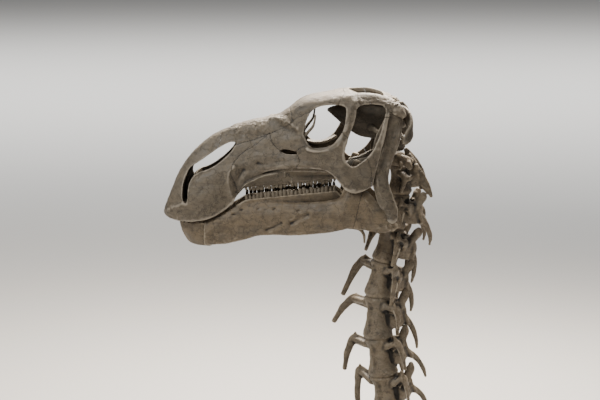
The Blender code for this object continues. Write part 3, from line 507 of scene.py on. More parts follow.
def head_hollow(columns=44, rows=14):
    """The room inside the head, open below behind the nose; it narrows into the front of the nostrils."""
    outside, inward = head_rings(columns, rows)
    rings = []
    for ring, lining in zip(outside, outside + inward * WALL):
        if ring[0][0] < HOLLOW_START:
            continue
        opened = np.clip((ring[-1][0] - FLOOR_END) / .05, 0, 1)
        side = through(lining, np.linspace(0, (rows - 1) * (.8 + .2 * opened), rows))
        side[0][1] = 0
        rings.append(whole_ring([*side, (*side[-1][:2], ring[-1][2] + .018 - .07 * opened)]))
    rings.append(1.5 * rings[-1] - .5 * rings[-2])
    start = rings[0].mean(0)
    return skin([start + (rings[0] - start) * .35 + (-.026, 0, -.010), *rings])


def funnel(outline, inner, outer, inner_scale, outer_scale):
    """A cutter through one side of the head; the outline grows from the inside out."""
    loop = evenly([*outline, outline[0]], 61)[:-1]
    middle = loop.mean(0)
    rings = []
    for depth in np.linspace(0, 1, 5):
        scaled = middle + (loop - middle) * (inner_scale + (outer_scale - inner_scale) * depth)
        rings.append([(x, inner + (outer - inner) * depth, z) for x, z in scaled])
    return skin(rings)


def rounded_oblong():
    """The two coordinates of 40 points round an outline between a circle and a square."""
    turns = np.linspace(0, 2 * math.pi, 40, endpoint=False)
    return [np.sign(wave) * np.abs(wave)**.8 for wave in (np.cos(turns), np.sin(turns))]


def roof_cutter(side):
    """The opening of the roof behind the eye, a rounded oblong seen from above."""
    along, across = rounded_oblong()
    levels = ((.33, .90), (.38, .96), (.42, 1.03), (.50, 1.2))
    return skin([np.column_stack([.680 + .057 * scale * along, side * (.057 + .036 * scale * across),
                                  np.full(40, z)]) for z, scale in levels])


def socket_ledge(side, shelf):
    """The upper jaw from the cheek's shelf in to the tooth sockets; in front its wall slopes."""
    rings = []
    for x, y, z in evenly(shelf, 24):
        root = np.interp(x, (.228, *TEETH_X), (.052, *np.add(UPPER_TIPS, CROWN_SHOWN)))
        wall = np.interp(x, (.228, TEETH_X[0]), (.056, .074))
        slope = .022 * np.clip((.47 - x) / .12, 0, 1)
        rings.append([(x, side * a, b) for a, b in (
            (y, z + .012), (y - .001, z - .003), (max(y - .008, wall + slope), z - .008),
            (wall + slope * .5, (z + root) / 2), (wall, root + .006), (wall - .005, root),
            (wall - .022, root), (wall - .027, root + .010), (wall - .027, z + .020), (y - .020, z + .024))])
    return skin(rings)


def joint_curtain(line, side, start=-.01):
    """A thin wall along a joint line, which wanders like a real one. Short faces keep the Boolean quick."""
    path = evenly(line, 10 * len(line))
    along = np.gradient(path, axis=0)
    along /= np.linalg.norm(along, axis=1)[:, None]
    across = np.column_stack([-along[:, 1], along[:, 0]])
    sway = [.0022 * noise.noise((x * 90, z * 90, side)) * min(i, len(path) - 1 - i, 6) / 6
            for i, (x, z) in enumerate(path)]
    path += across * np.array(sway)[:, None]
    edge = np.vstack([path + across * JOINT_GAP / 2, (path - across * JOINT_GAP / 2)[::-1]])
    return skin([[(x, side * y, z) for x, z in edge] for y in np.linspace(start, .19, 18)])


def block(low, high):
    bm = bmesh.new()
    size, middle = np.subtract(high, low), np.add(high, low) / 2
    bmesh.ops.create_cube(bm, size=1, matrix=Matrix.Translation(middle) @ Matrix.Diagonal((*size, 1)))
    return placed(bm)


outside, _ = head_rings(CAST_COLUMNS, CAST_ROWS)
cast = skin([whole_ring(ring) for ring in outside])
combine(cast, head_hollow())
for cutter in (funnel(NARIS, .016, .13, .86, 1.12), funnel(ORBIT, .03, .20, .90, 1.06),
               funnel(TEMPORAL, .03, .22, .90, 1.06), funnel(ANTORBITAL, .03, .15, .86, 1.12)):
    combine(cast, copy_of(cutter, flip=True))
    combine(cast, cutter)
parts = [cast]
for side in (1, -1):
    combine(cast, roof_cutter(side))
    parts.append(socket_ledge(side, FRONT_SHELF))
# knobs at the rear corners, then the floors of the eyes' openings
parts += pair([(.728, .098, .390), (.752, .102, .380), (.778, .108, .364), (.797, .111, .346)],
              [.010, .019, .020, .011])
parts += pair([(.480, .112, .238), (.510, .112, .232), (.545, .116, .236), (.578, .124, .252)],
              [(.006, .016), (.007, .022), (.007, .022), (.006, .012)])
cast = grown(parts, GRAIN, 4)
carve(cast, SIDE_RELIEF)
carve(cast, [(line, .007, -.0008) for line in JOINTS_OF_SIDE])
carve(cast, ROOF_RELIEF, plane=(0, 1))
roughen(cast, ROUGH_SPOTS)
weather(cast, (.045, .0030), (.014, .0014), (.005, .0007))

# one joint runs down the middle as far as the parietal, which is a single bone
joints = block((-.05, -JOINT_GAP / 2, -.10), (MIDLINE_END, JOINT_GAP / 2, .60))
for side in (1, -1):
    for line in JOINTS_OF_SIDE:
        combine(joints, joint_curtain(line, side), "UNION")
    combine(joints, joint_curtain(BAR_JOINT, side, PARIETAL_EDGE + .01), "UNION")
    edge = sorted((side * PARIETAL_EDGE, side * (PARIETAL_EDGE + JOINT_GAP)))
    combine(joints, block((PARIETAL_START, edge[0], .30), (.80, edge[1], .50)), "UNION")
combine(cast, joints)


def loose_parts(target):
    """Parts an object into its separate bodies."""
    bpy.ops.object.select_all(action="DESELECT")
    target.select_set(True)
    bpy.context.view_layer.objects.active = target
    bpy.ops.object.mode_set(mode="EDIT")
    bpy.ops.mesh.select_all(action="SELECT")
    bpy.ops.mesh.separate(type="LOOSE")
    bpy.ops.object.mode_set(mode="OBJECT")
    return list(bpy.context.selected_objects)


bodies = [(body, places_and_normals(body.data)[0]) for body in loose_parts(cast)]


def nearest(point):
    """The body with a point of its surface nearest to the point."""
    return min(bodies, key=lambda body: np.linalg.norm(body[1] - point, axis=1).min())[0]


outer = {}
for name, point in OUTER_BONES.items():
    for place, suffix in zip(both_sides([point]), ("_right", "_left")):
        outer[name + suffix] = nearest(place[0])
outer["parietal"] = nearest((.65, 0, .40))
# splinters of a few points between two joint lines fall out
for body, _ in bodies:
    if body not in outer.values():
        bpy.data.objects.remove(body)


# ---------------------------------------------------------------- the upper jaw inside the cheek
# The maxilla runs on behind the cheek as a bar with the rear half of the tooth row. It is one bone with the
# plate in front of the eye, and is held by the cheekbone outside and the palate inside.
for side, name in ((1, "maxilla_right"), (-1, "maxilla_left")):
    rear_bar = grown([socket_ledge(side, REAR_SHELF)], GRAIN, 4)
    weather(rear_bar, (.020, .0020), (.006, .0008))
    combine(outer[name], rear_bar, "UNION")
    fit(outer[name], outer[name.replace("maxilla", "jugal")])


# ---------------------------------------------------------------- the back of the skull
# Braincase and palate are deep bones, hardly weathered, coloured darker than the skull as painted shade for
# their place inside the head. The quadrates are the two stout posts that carry the jaw joint; the braincase
# ends in the knob on which the neck turns.
QUADRATE = [(.764, .096, .384, .018), (.766, .100, .339, .028), (.753, .105, .272, .033),
            (.728, .108, .205, .034), (.722, .112, .137, .026), (.738, .117, .070, .028),
            (.755, .119, .030, .025), (.757, .119, .004, .019)]  # X, Y, Z, half-depth along the head
# X, Z, half-sizes
BRAINCASE = [(.548, .356, .004, .006), (.566, .352, .016, .014), (.605, .338, .036, .026),
             (.650, .322, .052, .037), (.710, .316, .058, .042), (.760, .312, .056, .042),
             (.786, .306, .040, .034)]
PAROCCIPITAL = [(.770, .020, .345), (.794, .050, .350), (.812, .080, .336), (.819, .104, .304),
                (.811, .116, .276), (.799, .120, .256)]
PALATE = [(.205, .052, .040), (.260, .100, .042), (.340, .132, .042), (.460, .150, .042), (.580, .156, .042),
          (.640, .160, .030)]  # X, height of the edges, half-width
UPRIGHT = (0, 0, 1)
# darker tones than the skull's: painted shade for bones that sit inside the head
inner_bone_shaded = fossil("fossil_inner_bone_shaded", "#48433b", "#50493e", "#7c7466", "#161411")


def oval_ring(x, z, height, width):
    return [(x, width * math.cos(a), z + height * math.sin(a)) for a in np.linspace(0, 2 * math.pi, 25)[:-1]]


def vault_ring(x, z, width):
    """A thin vaulted plate: its underside from right to left, then back over the top."""
    under = [(-1, 0), (-.75, .008), (-.5, .012), (-.25, .015), (0, .016), (.25, .015), (.5, .012),
             (.75, .008), (1, 0)]
    over = [(.9, .010), (.65, .018), (.4, .023), (.15, .026), (-.15, .026), (-.4, .023), (-.65, .018),
            (-.9, .010)]
    return [(x, width * across, z + rise) for across, rise in under + over]


parts = [skin([oval_ring(*station) for station in evenly(BRAINCASE, 26)]),
         bar([(.745, 0, .268), (.770, 0, .250), (.786, 0, .238), (.796, 0, .232)], [.020, .021, .025, .019]),
         bar([(.755, 0, .280), (.740, 0, .215), (.728, 0, .190)], [.026, .021, .012]),
         bar([(.775, 0, .300), (.777, 0, .345), (.770, 0, .376)],
             [(.034, .012), (.040, .012), (.032, .007)])]
parts += pair(PAROCCIPITAL, [(.012, .026), (.011, .026), (.010, .025), (.009, .022), (.008, .017),
                             (.005, .008)], UPRIGHT)
# processes below, struts to the sides and the rim of the spinal cord's opening
parts += pair([(.735, .006, .215), (.730, .018, .190), (.722, .030, .168)], [.014, .010, .009])
parts += pair([(.690, .034, .300), (.700, .056, .298), (.712, .074, .290)], [.012, .009, .007])
parts += pair([(.792, .016, .276), (.798, .024, .262), (.796, .020, .246)], [.006, .007, .006])
braincase = grown(parts, GRAIN)

parts = [skin([vault_ring(*station) for station in evenly(PALATE, 30)])]
parts += pair([(.620, .020, .172), (.660, .042, .172), (.700, .070, .180), (.722, .094, .190)],
              [(.008, .020), (.007, .026), (.006, .034), (.005, .030)], UPRIGHT)
parts += pair([(.600, .030, .165), (.612, .070, .160), (.612, .100, .160)],
              [(.008, .014), (.007, .012), (.008, .013)])
palate = grown(parts, .0024)

quadrates = {}
for name, line in zip(("quadrate_right", "quadrate_left"), both_sides([p[:3] for p in QUADRATE])):
    side = np.sign(line[0, 1])
    column = bar(line, [(.012, p[3]) for p in QUADRATE], (1, 0, 0), 24)
    flange = bar([(.752, side * .100, .330), (.735, side * .092, .262), (.712, side * .088, .200)],
                 [(.005, .020), (.004, .034), (.004, .022)], (1, 0, 0), 24)
    foot = [bar([(.738, side * y, .008), (.757, side * y, .001), (.773, side * y, .006)], [.006, .011, .006])
            for y in (.110, .125)]
    quadrates[name] = grown([column, flange, *foot], GRAIN)
    carve(quadrates[name], [
        ([(.752, .350), (.738, .270), (.716, .200), (.712, .130), (.728, .070)], .013, .0028),
        ([(.768, .320), (.752, .260), (.726, .180)], .016, -.0030),
        ([(.786, .310), (.774, .260), (.748, .190), (.737, .120)], .012, .0022),
        ([(.716, .110), (.734, .060)], .014, -.0022),
        ([(.728, .030), (.755, .026), (.772, .032)], .014, -.0030)])
    weather(quadrates[name], (.030, .0022), (.008, .0008))

for target, neighbours in ((braincase, ("parietal", "frontal_right", "frontal_left", "squamosal_right",
                                        "squamosal_left")),
                           (palate, ("maxilla_right", "maxilla_left", "jugal_right", "jugal_left"))):
    weather(target, (.030, .0024), (.010, .0012), (.004, .0005))
    fit(target, *[outer[neighbour] for neighbour in neighbours])
for name, body in quadrates.items():
    fit(body, *[outer[name.replace("quadrate", other)] for other in ("quadratojugal", "squamosal", "jugal")])
    fit(braincase, body)
    fit(palate, body)
fit(palate, braincase)


def dress(target, name, look, sharp):
    """Names a piece and gives it its look; edges that turn by more degrees than sharp stay sharp."""
    mesh = target.data
    mesh.materials.clear()
    mesh.materials.append(look)
    mesh.shade_smooth()
    mesh.set_sharp_from_angle(angle=math.radians(sharp))
    target.name = name
    mesh.name = name


def finish(target, name, look, place, *nodes):
    """Puts a bone in the model, in place of its CAD nodes."""
    target.data.transform(place)
    dress(target, name, look, 60)
    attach(target, "root")
    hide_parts(*nodes)


for name, body in (*outer.items(), *quadrates.items()):
    finish(body, "bone_" + name, skull_bone, AT_SKULL, name)
finish(braincase, "bone_braincase", inner_bone_shaded, AT_SKULL, "braincase")
finish(palate, "bone_palate", inner_bone_shaded, AT_SKULL, "palate")

# ---------------------------------------------------------------- palpebrals
# A thin bony rod over each eye, held at its foot to the front edge of the eye's opening.
PALPEBRAL = [(.464, .094, .268), (.484, .108, .294), (.501, .114, .316), (.508, .115, .350)]
for name, line in zip(("palpebral_right", "palpebral_left"), both_sides(PALPEBRAL)):
    rod = grown([bar(line, [.0062, .0052, .0042, .0028])], .0013)
    weather(rod, (.010, .0010))
    rod.data.transform(AT_SKULL)
    fit(rod, outer[name.replace("palpebral", "lacrimal")])
    finish(rod, "bone_" + name, skull_bone, Matrix(), name)

# ---------------------------------------------------------------- the lower jaw
# Each half is a deep bone with the teeth, its rear part with the jaw joint, and a tall hook for the muscles
# that close the mouth. A horseshoe of bone caps the front end.
# X, top, bottom, Y of the middle, half-thickness
RAMUS = [(.138, -.013, -.091, .056, .017), (.205, .016, -.088, .060, .019), (.262, .052, -.075, .062, .021),
         (.339, .058, -.056, .066, .022), (.456, .056, -.054, .082, .026), (.574, .068, -.039, .096, .029),
         (.624, .108, -.027, .106, .024), (.674, .100, -.033, .112, .019), (.725, .048, -.040, .116, .017),
         (.760, .004, -.034, .118, .014), (.780, -.012, -.024, .118, .005)]
DENTARY_END = [(.676, .160), (.672, .140), (.651, .055), (.622, -.070), (.618, -.090)]
CORONOID = [(.628, .100, .080), (.636, .100, .140), (.646, .098, .196)]
LOWER_TIPS = (.083, .113)
PREDENTARY_TOP = [(.160, .068, -.010), (.118, .064, -.016), (.080, .046, -.018), (.056, .020, -.018),
                  (.052, 0, -.018)]
PREDENTARY_BASE = [(.185, .058, -.094), (.145, .052, -.096), (.105, .038, -.093), (.084, .018, -.086),
                   (.076, 0, -.080)]
JAW_RELIEF = [
    ([(.346, -.036), (.368, -.026), (.394, -.010)], .014, -.0090),
    ([(.428, -.010), (.455, .006), (.484, .020)], .015, -.0085),
    ([(.190, -.046), (.225, -.044)], .040, -.0065),
    ([(.300, .008), (.400, .016), (.500, .030)], .055, .0040),
    ([(.210, -.074), (.300, -.054), (.450, -.042), (.560, -.030)], .022, .0028),
    ([(.250, .034), (.330, .042), (.450, .040), (.560, .050)], .020, -.0025),
    ([(.612, .090), (.606, .040), (.590, .000)], .034, .0040),
    ([(.640, .060), (.655, .020), (.680, -.005)], .028, -.0035),
    ([(.670, .072), (.700, .040), (.735, .006)], .018, .0030),
    ([(.640, -.016), (.690, -.022), (.740, -.020)], .016, .0020),
    ([(.430, -.030), (.520, -.014), (.600, -.006)], .024, -.0025),
]
JAW_SCARS = (((.15, .070, -.05), .05, .0020), ((.752, .125, -.02), .035, .0030),
             ((.65, .110, -.03), .035, .0020))
NUTRIENT_HOLES = [(.236, .014), (.262, .030), (.318, .034), (.371, .036), (.452, .032)]
# its tones are a little warmer than the skull's: a painted warm cast for the warm light thrown up onto the
# jaw
jaw_bone = fossil("fossil_jaw_bone", "#5d5549", "#6d604d", "#a49986", "#1c1814")


def jaw_ring(x, top, bottom, y, thick):
    """An upright oval with a fuller lower edge."""
    across, up = rounded_oblong()
    return np.column_stack([np.full(40, x), y + thick * across * (1 - .22 * up),
                            (top + bottom) / 2 + (top - bottom) / 2 * up])


def gum_body():
    """The inner side of the jaw, which holds the teeth; it sinks away before and behind them."""
    rings = []
    for x in np.linspace(TEETH_X[0] - .034, TEETH_X[1] + .046, 34):
        sink = .030 * np.clip((TEETH_X[0] + .02 - x) / .054, 0, 1)**2
        sink += .045 * np.clip((x - TEETH_X[1]) / .046, 0, 1)
        root = np.interp(x, TEETH_X, LOWER_TIPS) - CROWN_SHOWN - .005 - sink
        foot, out, inside = root - .060, .071, .044
        rings.append([(x, out - .002, root), (x, inside + .002, root), (x, inside, root - .010),
                      (x, inside, foot), (x, out, foot), (x, out, root - .012)])
    return skin(rings)


def predentary_hoop():
    """The horseshoe that caps the jaw, with a row of notches along its edge."""
    rings = []
    for i, (one, two) in enumerate(zip(evenly(PREDENTARY_TOP, 48), evenly(PREDENTARY_BASE, 48))):
        tooth = np.array((0, 0, .0035 * (i % 6 < 3) * (i > 8)))
        near_end = np.clip(1 - i / 9, 0, 1)**2 * .7
        one, two = one + (two - one) * near_end * .55, two + (one - two) * near_end * .45
        into = np.array((.42 - one[0] * 2.2, -one[1] * 3, 0))
        into *= .020 / np.linalg.norm(into)
        ring = [one + tooth, one + (two - one) * .25 + (-.003, .002, 0), (one + two) / 2 + (-.004, .003, 0),
                one + (two - one) * .8 + (-.003, .002, 0), two, two + (0, 0, .006) + into,
                one + (0, 0, -.004) + into]
        rings.append([(x, max(y, 0), z) for x, y, z in ring])
    return skin(rings + [[(x, -y, z) for x, y, z in ring] for ring in rings[-2::-1]])


ramus = skin([jaw_ring(*station) for station in evenly(RAMUS, 110)])
parts = [ramus, gum_body(), bar(CORONOID, [(.012, .034), (.010, .024), (.008, .013)], (1, 0, 0)),
         bar([(.725, .116, .010), (.752, .118, -.012), (.768, .118, -.012)],
             [(.014, .016), (.016, .016), (.012, .012)])]
jaw = grown(parts, GRAIN, 4)
other_jaw = copy_of(jaw, flip=True)
predentary = grown([predentary_hoop()], .0018, 2)
weather(predentary, (.020, .0020), (.006, .0010))
carve(predentary, [([(.075, -.030), (.110, -.036), (.160, -.036)], .016, -.0020),
                   ([(.090, -.066), (.130, -.074), (.180, -.076)], .020, .0020)])
jaws = {}
for side, suffix, half in ((1, "_right", jaw), (-1, "_left", other_jaw)):
    carve(half, JAW_RELIEF)
    carve(half, [([(x - .002, z), (x + .003, z + .001)], .0065, -.0045) for x, z in NUTRIENT_HOLES])
    roughen(half, JAW_SCARS)
    weather(half, (.045, .0030), (.014, .0013), (.005, .0006))
    fit(half, predentary)
    combine(half, joint_curtain(DENTARY_END, side, .02))
    pieces = sorted(loose_parts(half), key=lambda body: -len(body.data.vertices))
    for name, piece in zip(("dentary", "surangular"), pieces):
        fit(piece, quadrates["quadrate" + suffix])
        jaws[name + suffix] = piece
    for crumb in pieces[2:]:
        bpy.data.objects.remove(crumb)
for name, body in jaws.items():
    finish(body, "bone_" + name, jaw_bone, AT_SKULL, name)
finish(predentary, "bone_predentary", jaw_bone, AT_SKULL, "predentary")

# ---------------------------------------------------------------- teeth
# Twenty-four teeth stand in each of the four rows. A crown is a blunt shield with a ridge down its outer
# face, set in a socket of the jaw. The enamel is coloured darker than the bone.
CROWNS = 24
# share of the height, share of the width, half-thickness
CROWN_LEVELS = [(0, .84, .0052), (.30, .94, .0054), (.52, 1.04, .0052), (.70, 1.08, .0046),
                (.84, .96, .0036), (.94, .70, .0024), (1, .34, .0012)]
CROWN_TALL = .032  # with the part in the socket
CROWN_Y = .0612
CROWN_HALF = .0062  # half the width of a crown
tooth_enamel = fossil("fossil_tooth_enamel", "#4c453b", "#423b31", "#6e6557", "#100e0c")


def tooth_row(side, tips, up, name, jaw_node):
    """One row; up is the direction from tip to root, 1 for the upper jaw."""
    dice = np.random.default_rng(3 + side + up)
    turns = np.linspace(0, 2 * math.pi, 19)[:-1]
    ridge = .0007 * np.exp(-((turns - math.pi / 2) / .30)**2)
    bm = bmesh.new()
    for i in range(CROWNS):
        x = TEETH_X[0] + (i + .5) * (TEETH_X[1] - TEETH_X[0]) / CROWNS
        size, lean, out = dice.uniform(.94, 1.10), dice.uniform(-.12, .12), dice.uniform(-.0010, .0010)
        short = dice.choice((-.001, .001, .002, .006)) + dice.uniform(-.001, .001)
        end_small = np.clip(min(i + 4, CROWNS + 3 - i) / 6, .8, 1)
        tip = np.interp(x, TEETH_X, tips) + up * short
        rings = []
        for level, width, thick in CROWN_LEVELS:
            rise = (1 - level) * CROWN_TALL
            half = CROWN_HALF * size * end_small * width
            y = CROWN_Y + out + .0015 * level + thick * np.sin(turns) + ridge * (level < .95)
            ring = np.column_stack([x + lean * rise + half * np.cos(turns), y,
                                    np.full(18, tip + up * rise)])
            rings.append(ring * (1, side, 1))
        crown = skin(rings)
        bm.from_mesh(crown.data)
        bpy.data.objects.remove(crown)
    row = placed(bm)
    weather(row, (.006, .0006))
    finish(row, name, tooth_enamel, AT_SKULL, jaw_node)


for side, suffix in ((1, "_right"), (-1, "_left")):
    tooth_row(side, UPPER_TIPS, 1, "teeth_upper" + suffix, "maxilla" + suffix)
    tooth_row(side, LOWER_TIPS, -1, "teeth_lower" + suffix, "dentary" + suffix)

# ---------------------------------------------------------------- the throat's rods
# Two thin bones that lie along the inner side of the jaw and bend down at their rear end.
HYOID = [(.507, .052, -.014), (.560, .062, -.020), (.607, .074, -.026), (.651, .084, -.032),
         (.668, .086, -.050), (.671, .087, -.079)]
for name, line in zip(("hyoid_right", "hyoid_left"), both_sides(HYOID)):
    rod = grown([bar(line, [.0062, .0072, .0070, .0062, .0050, .0032])], .0014)
    weather(rod, (.012, .0014))
    rod.data.transform(AT_SKULL)
    fit(rod, jaws[name.replace("hyoid", "dentary")], jaws[name.replace("hyoid", "surangular")])
    finish(rod, "bone_" + name, jaw_bone, Matrix(), name)

# ---------------------------------------------------------------- the neck
# Eight bones. The ring-shaped atlas and the axis with its blade carry the head; each of the six below has a
# body with a ball above and a cup below, an arch, two long hooked joint processes and a pair of ribs.
NECK_LINE = [(.174, 1.142), (.177, 1.091), (.180, 1.006), (.174, .938), (.157, .877), (.140, .819),
             (.127, .761), (.117, .700), (.107, .642), (.103, .574), (.110, .503), (.120, .439),
             (.130, .371), (.140, .303), (.147, .230)]  # X, Z of its middle line, from the skull down
NECK_JOINTS = [1.135, 1.094, .999, .884, .766, .647, .504, .374, .248]
ATLAS_TURN, AXIS_TURN = 2, 5  # degrees that they are turned round the neck
# name: turn in degrees, girth, where the right rib's two heads meet and its tip, the same for the left rib,
# which has sunk against the body, and last the tip of the rear joint process
VERTEBRAE = {
    "cervical_3": (10, .88, ((.072, -.010, .025), (.082, -.030, -.040)),
                   ((.056, .000, .022), (.060, .004, -.050)), (.042, .124, -.098)),
    "cervical_4": (20, .93, ((.096, -.012, .028), (.092, -.032, -.055)),
                   ((.064, .000, .028), (.062, .006, -.062)), (.036, .104, -.112)),
    "cervical_5": (32, 1.00, ((.102, -.012, .034), (.138, -.044, -.098)),
                   ((.070, .004, .044), (.068, .012, -.086)), (.045, .117, -.102)),
    "cervical_6": (40, 1.06, ((.124, .000, .040), (.166, -.055, -.040)),
                   ((.082, .010, .030), (.086, .014, -.040)), (.047, .137, -.128)),
    "cervical_7": (45, 1.07, ((.112, -.004, .052), (.137, -.047, -.048)),
                   ((.080, .006, .044), (.086, .020, -.052)), (.052, .150, -.118)),
    "cervical_8": (48, 1.10, ((.106, .000, .066), (.126, -.010, -.068)),
                   ((.080, .008, .054), (.084, .014, -.046)), (.050, .148, -.095)),
}
# shapes for a girth of 1; heights are in half-lengths of the body
CENTRUM = [(-1, .0480, .0430), (-.94, .0505, .0455), (-.80, .0490, .0440), (-.52, .0420, .0380),
           (-.10, .0350, .0325), (.35, .0350, .0320), (.62, .0405, .0370), (.80, .0450, .0415),
           (.91, .0445, .0405), (.98, .038, .034), (1.10, .030, .027), (1.20, .018, .016)]
ARCH = [(-.030, .022), (-.034, .060), (-.018, .086), (.018, .086), (.034, .060), (.030, .022)]
VERTEBRA_GRAIN = .0021
FILLET = .0045  # radius of the corners where processes leave the body
neck_bone = fossil("fossil_neck_bone", "#676054", "#776b59", "#b4aa99", "#1d1a16")


def neck_frame(top, bottom, turn):
    """Matrix from a vertebra's own frame to the world, and its length."""
    line = evenly(NECK_LINE, 120)[::-1]
    upper, lower = (Vector((np.interp(z, line[:, 1], line[:, 0]), 0, z)) for z in (top, bottom))
    ahead = (upper - lower).normalized()
    back = Vector((math.cos(math.radians(turn)), math.sin(math.radians(turn)), 0))
    back = (back - ahead * ahead.dot(back)).normalized()
    place = Matrix((back.cross(ahead), back, ahead)).transposed().to_4x4()
    place.translation = (upper + lower) / 2
    return place, (upper - lower).length


def vertebra(length, girth, right_rib, left_rib, hook):
    """The parts of a neck vertebra with its two ribs, in its own frame."""
    def scaled(points):
        return [(x * girth, y * girth, z * length / 2) for x, y, z in points]

    parts = [bar(scaled([(0, 0, z) for z, _, _ in CENTRUM]), [(w * girth, d * girth) for _, w, d in CENTRUM],
                 sides=28, steps=4),
             bar(scaled([(0, -.034, -.55), (0, -.031, 0), (0, -.033, .6)]),
                 [(.005, .012), (.004, .012), (.006, .013)]),
             bar(scaled([(x, y, 0) for x, y in ARCH]), [(.011 * girth, .33 * length)] * len(ARCH), UPRIGHT),
             bar(scaled([(0, .088, .46), (0, .101, .10), (0, .104, -.30), (0, .100, -.66)]),
                 [(.006, .008), (.006, .012), (.007, .012), (.006, .007)])]
    rear = [(.020 * girth, .078 * girth, .02 * length),
            (hook[0] * .80, hook[1] * .48 + .050 * girth, hook[2] * .36),
            (hook[0] * .98, hook[1] * .90 + .010, hook[2] * .72), hook]
    front = scaled([(.030, .058, .05), (.038, .070, .60), (.045, .079, 1.00), (.046, .083, 1.26)])
    cross = scaled([(.032, .050, .12), (.050, .040, .24), (.064, .026, .34)])
    low = scaled([(.034, -.004, .50), (.044, -.008, .56), (.050, -.010, .56)])
    roof_web = [(.034 * girth, .066 * girth, .34 * length), (.031 * girth, .080 * girth, .05 * length),
                (hook[0] * .72, hook[1] * .40 + .046 * girth, hook[2] * .30)]
    for path, radii in ((front, [(.012, .017), (.010, .015), (.010, .016), (.006, .010)]),
                        (rear, [(.013, .015), (.0078, .0105), (.0060, .0082), (.0036, .0046)]),
                        (roof_web, [(.016, .007), (.018, .007), (.012, .007)]),
                        (cross, [(.012, .024), (.011, .018), (.010, .014)]),
                        (low, [.015, .013, .0125])):
        parts += pair(path, radii, UPRIGHT, mirror=0)
    for side, (meet, tip), flat, girths in (
            (-1, right_rib, UPRIGHT, [(.006, .020), (.0070, .0165), (.0062, .0120), (.0055, .0090)]),
            (1, left_rib, (1, 0, 0), [(.012, .009), (.016, .008), (.013, .0070), (.0075, .0050)])):
        meet, tip = Vector(meet), Vector(tip)
        bend = meet.lerp(tip, .45) + Vector((.006, 0, .005))
        spur = meet + (meet - tip).normalized() * .020 + Vector((-.004, -.004, .004))
        root = Vector((.040 * girth, .012 * girth, .23 * length))
        for path, radii, wide in (([cross[-1], meet], [.0095, .0105], UPRIGHT),
                                  ([low[-1], meet], [.0095, .0105], UPRIGHT),
                                  ([root, root.lerp(meet, .5), meet],
                                   [(.005, .024), (.005, .020), (.006, .017)], UPRIGHT),
                                  ([meet, spur], [.0085, .0040], UPRIGHT),
                                  ([root.lerp(meet, .6), meet, bend, tip], girths, flat)):
            parts.append(bar([(x * side, y, z) for x, y, z in path], radii, wide))
    return parts


def vertebra_relief(length, girth):
    """Y, Z strokes on its sides: the hollow beside the body, its swollen front, and the arch's flank."""
    half = length / 2
    return [([(.010 * girth, -.38 * half), (.012 * girth, .22 * half)], .036 * girth, -.0110),
            ([(-.014 * girth, -.45 * half), (-.016 * girth, .05 * half)], .026 * girth, .0030),
            ([(-.028 * girth, -.70 * half), (-.032 * girth, .30 * half)], .014, .0025),
            ([(.058 * girth, -.30 * half), (.062 * girth, .10 * half)], .022, -.0035),
            ([(-.004 * girth, .30 * half), (.016 * girth, .34 * half)], .012, -.0025)]


def atlas():
    """A thick ring round the spinal cord with two swollen flanks, a floor, backward wings and small ribs."""
    flanks = pair([(.010, -.020, -.006), (.034, -.012, -.003), (.045, .006, -.002), (.042, .024, -.004),
                   (.028, .038, -.010), (.006, .044, -.014)],
                  [(.011, .017), (.013, .020), (.013, .019), (.009, .014), (.006, .011), (.005, .010)],
                  UPRIGHT, mirror=0)
    floor = bar([(-.012, -.020, -.006), (.012, -.020, -.006)], [(.011, .016)] * 2, UPRIGHT)
    wings = pair([(.042, .016, -.004), (.054, .024, -.014), (.061, .032, -.032)],
                 [(.012, .014), (.008, .013), (.004, .008)], mirror=0)
    ribs = pair([(.042, .004, -.004), (.058, .000, -.014), (.064, -.004, -.030)],
                [(.012, .010), (.008, .008), (.005, .005)], mirror=0)
    return [*flanks, floor, *wings, *ribs]


def axis():
    """The body with its peg, the arch with its long blade, webs, processes and small ribs."""
    parts = [bar([(0, 0, z) for z in (-.050, -.044, -.034, 0, .026, .038, .046)],
                 [(.041, .036), (.045, .040), (.044, .039), (.031, .029), (.033, .030), (.037, .033),
                  (.031, .027)], sides=24),
             bar([(0, .012, .040), (0, .012, .066)], [.016, .010]),
             bar([(-.026, .022, 0), (-.030, .050, 0), (0, .066, 0), (.030, .050, 0), (.026, .022, 0)],
                 [(.009, .030)] * 5, UPRIGHT),
             bar([(0, .022, .098), (0, .046, .055), (0, .066, .008), (0, .080, -.036)],
                 [(.004, .008), (.006, .018), (.007, .022), (.008, .014)])]
    for path, radii in (([(.014, .066, .010), (.026, .086, -.025), (.032, .102, -.064)],
                         [(.009, .014), (.007, .012), (.004, .006)]),
                        ([(.008, .030, .078), (.018, .054, .030), (.027, .080, -.018), (.032, .098, -.054)],
                         [(.004, .010), (.005, .016), (.005, .016), (.004, .008)]),
                        ([(.030, .050, .030), (.036, .052, .048)], [(.009, .012), (.006, .008)]),
                        ([(.028, .040, .012), (.040, .030, .006), (.050, .020, .002)], [.011, .009, .009]),
                        ([(.032, 0, .020), (.050, .010, .004), (.060, -.004, -.040)],
                         [(.011, .013), (.008, .011), (.004, .005)])):
        parts += pair(path, radii, mirror=0)
    return parts


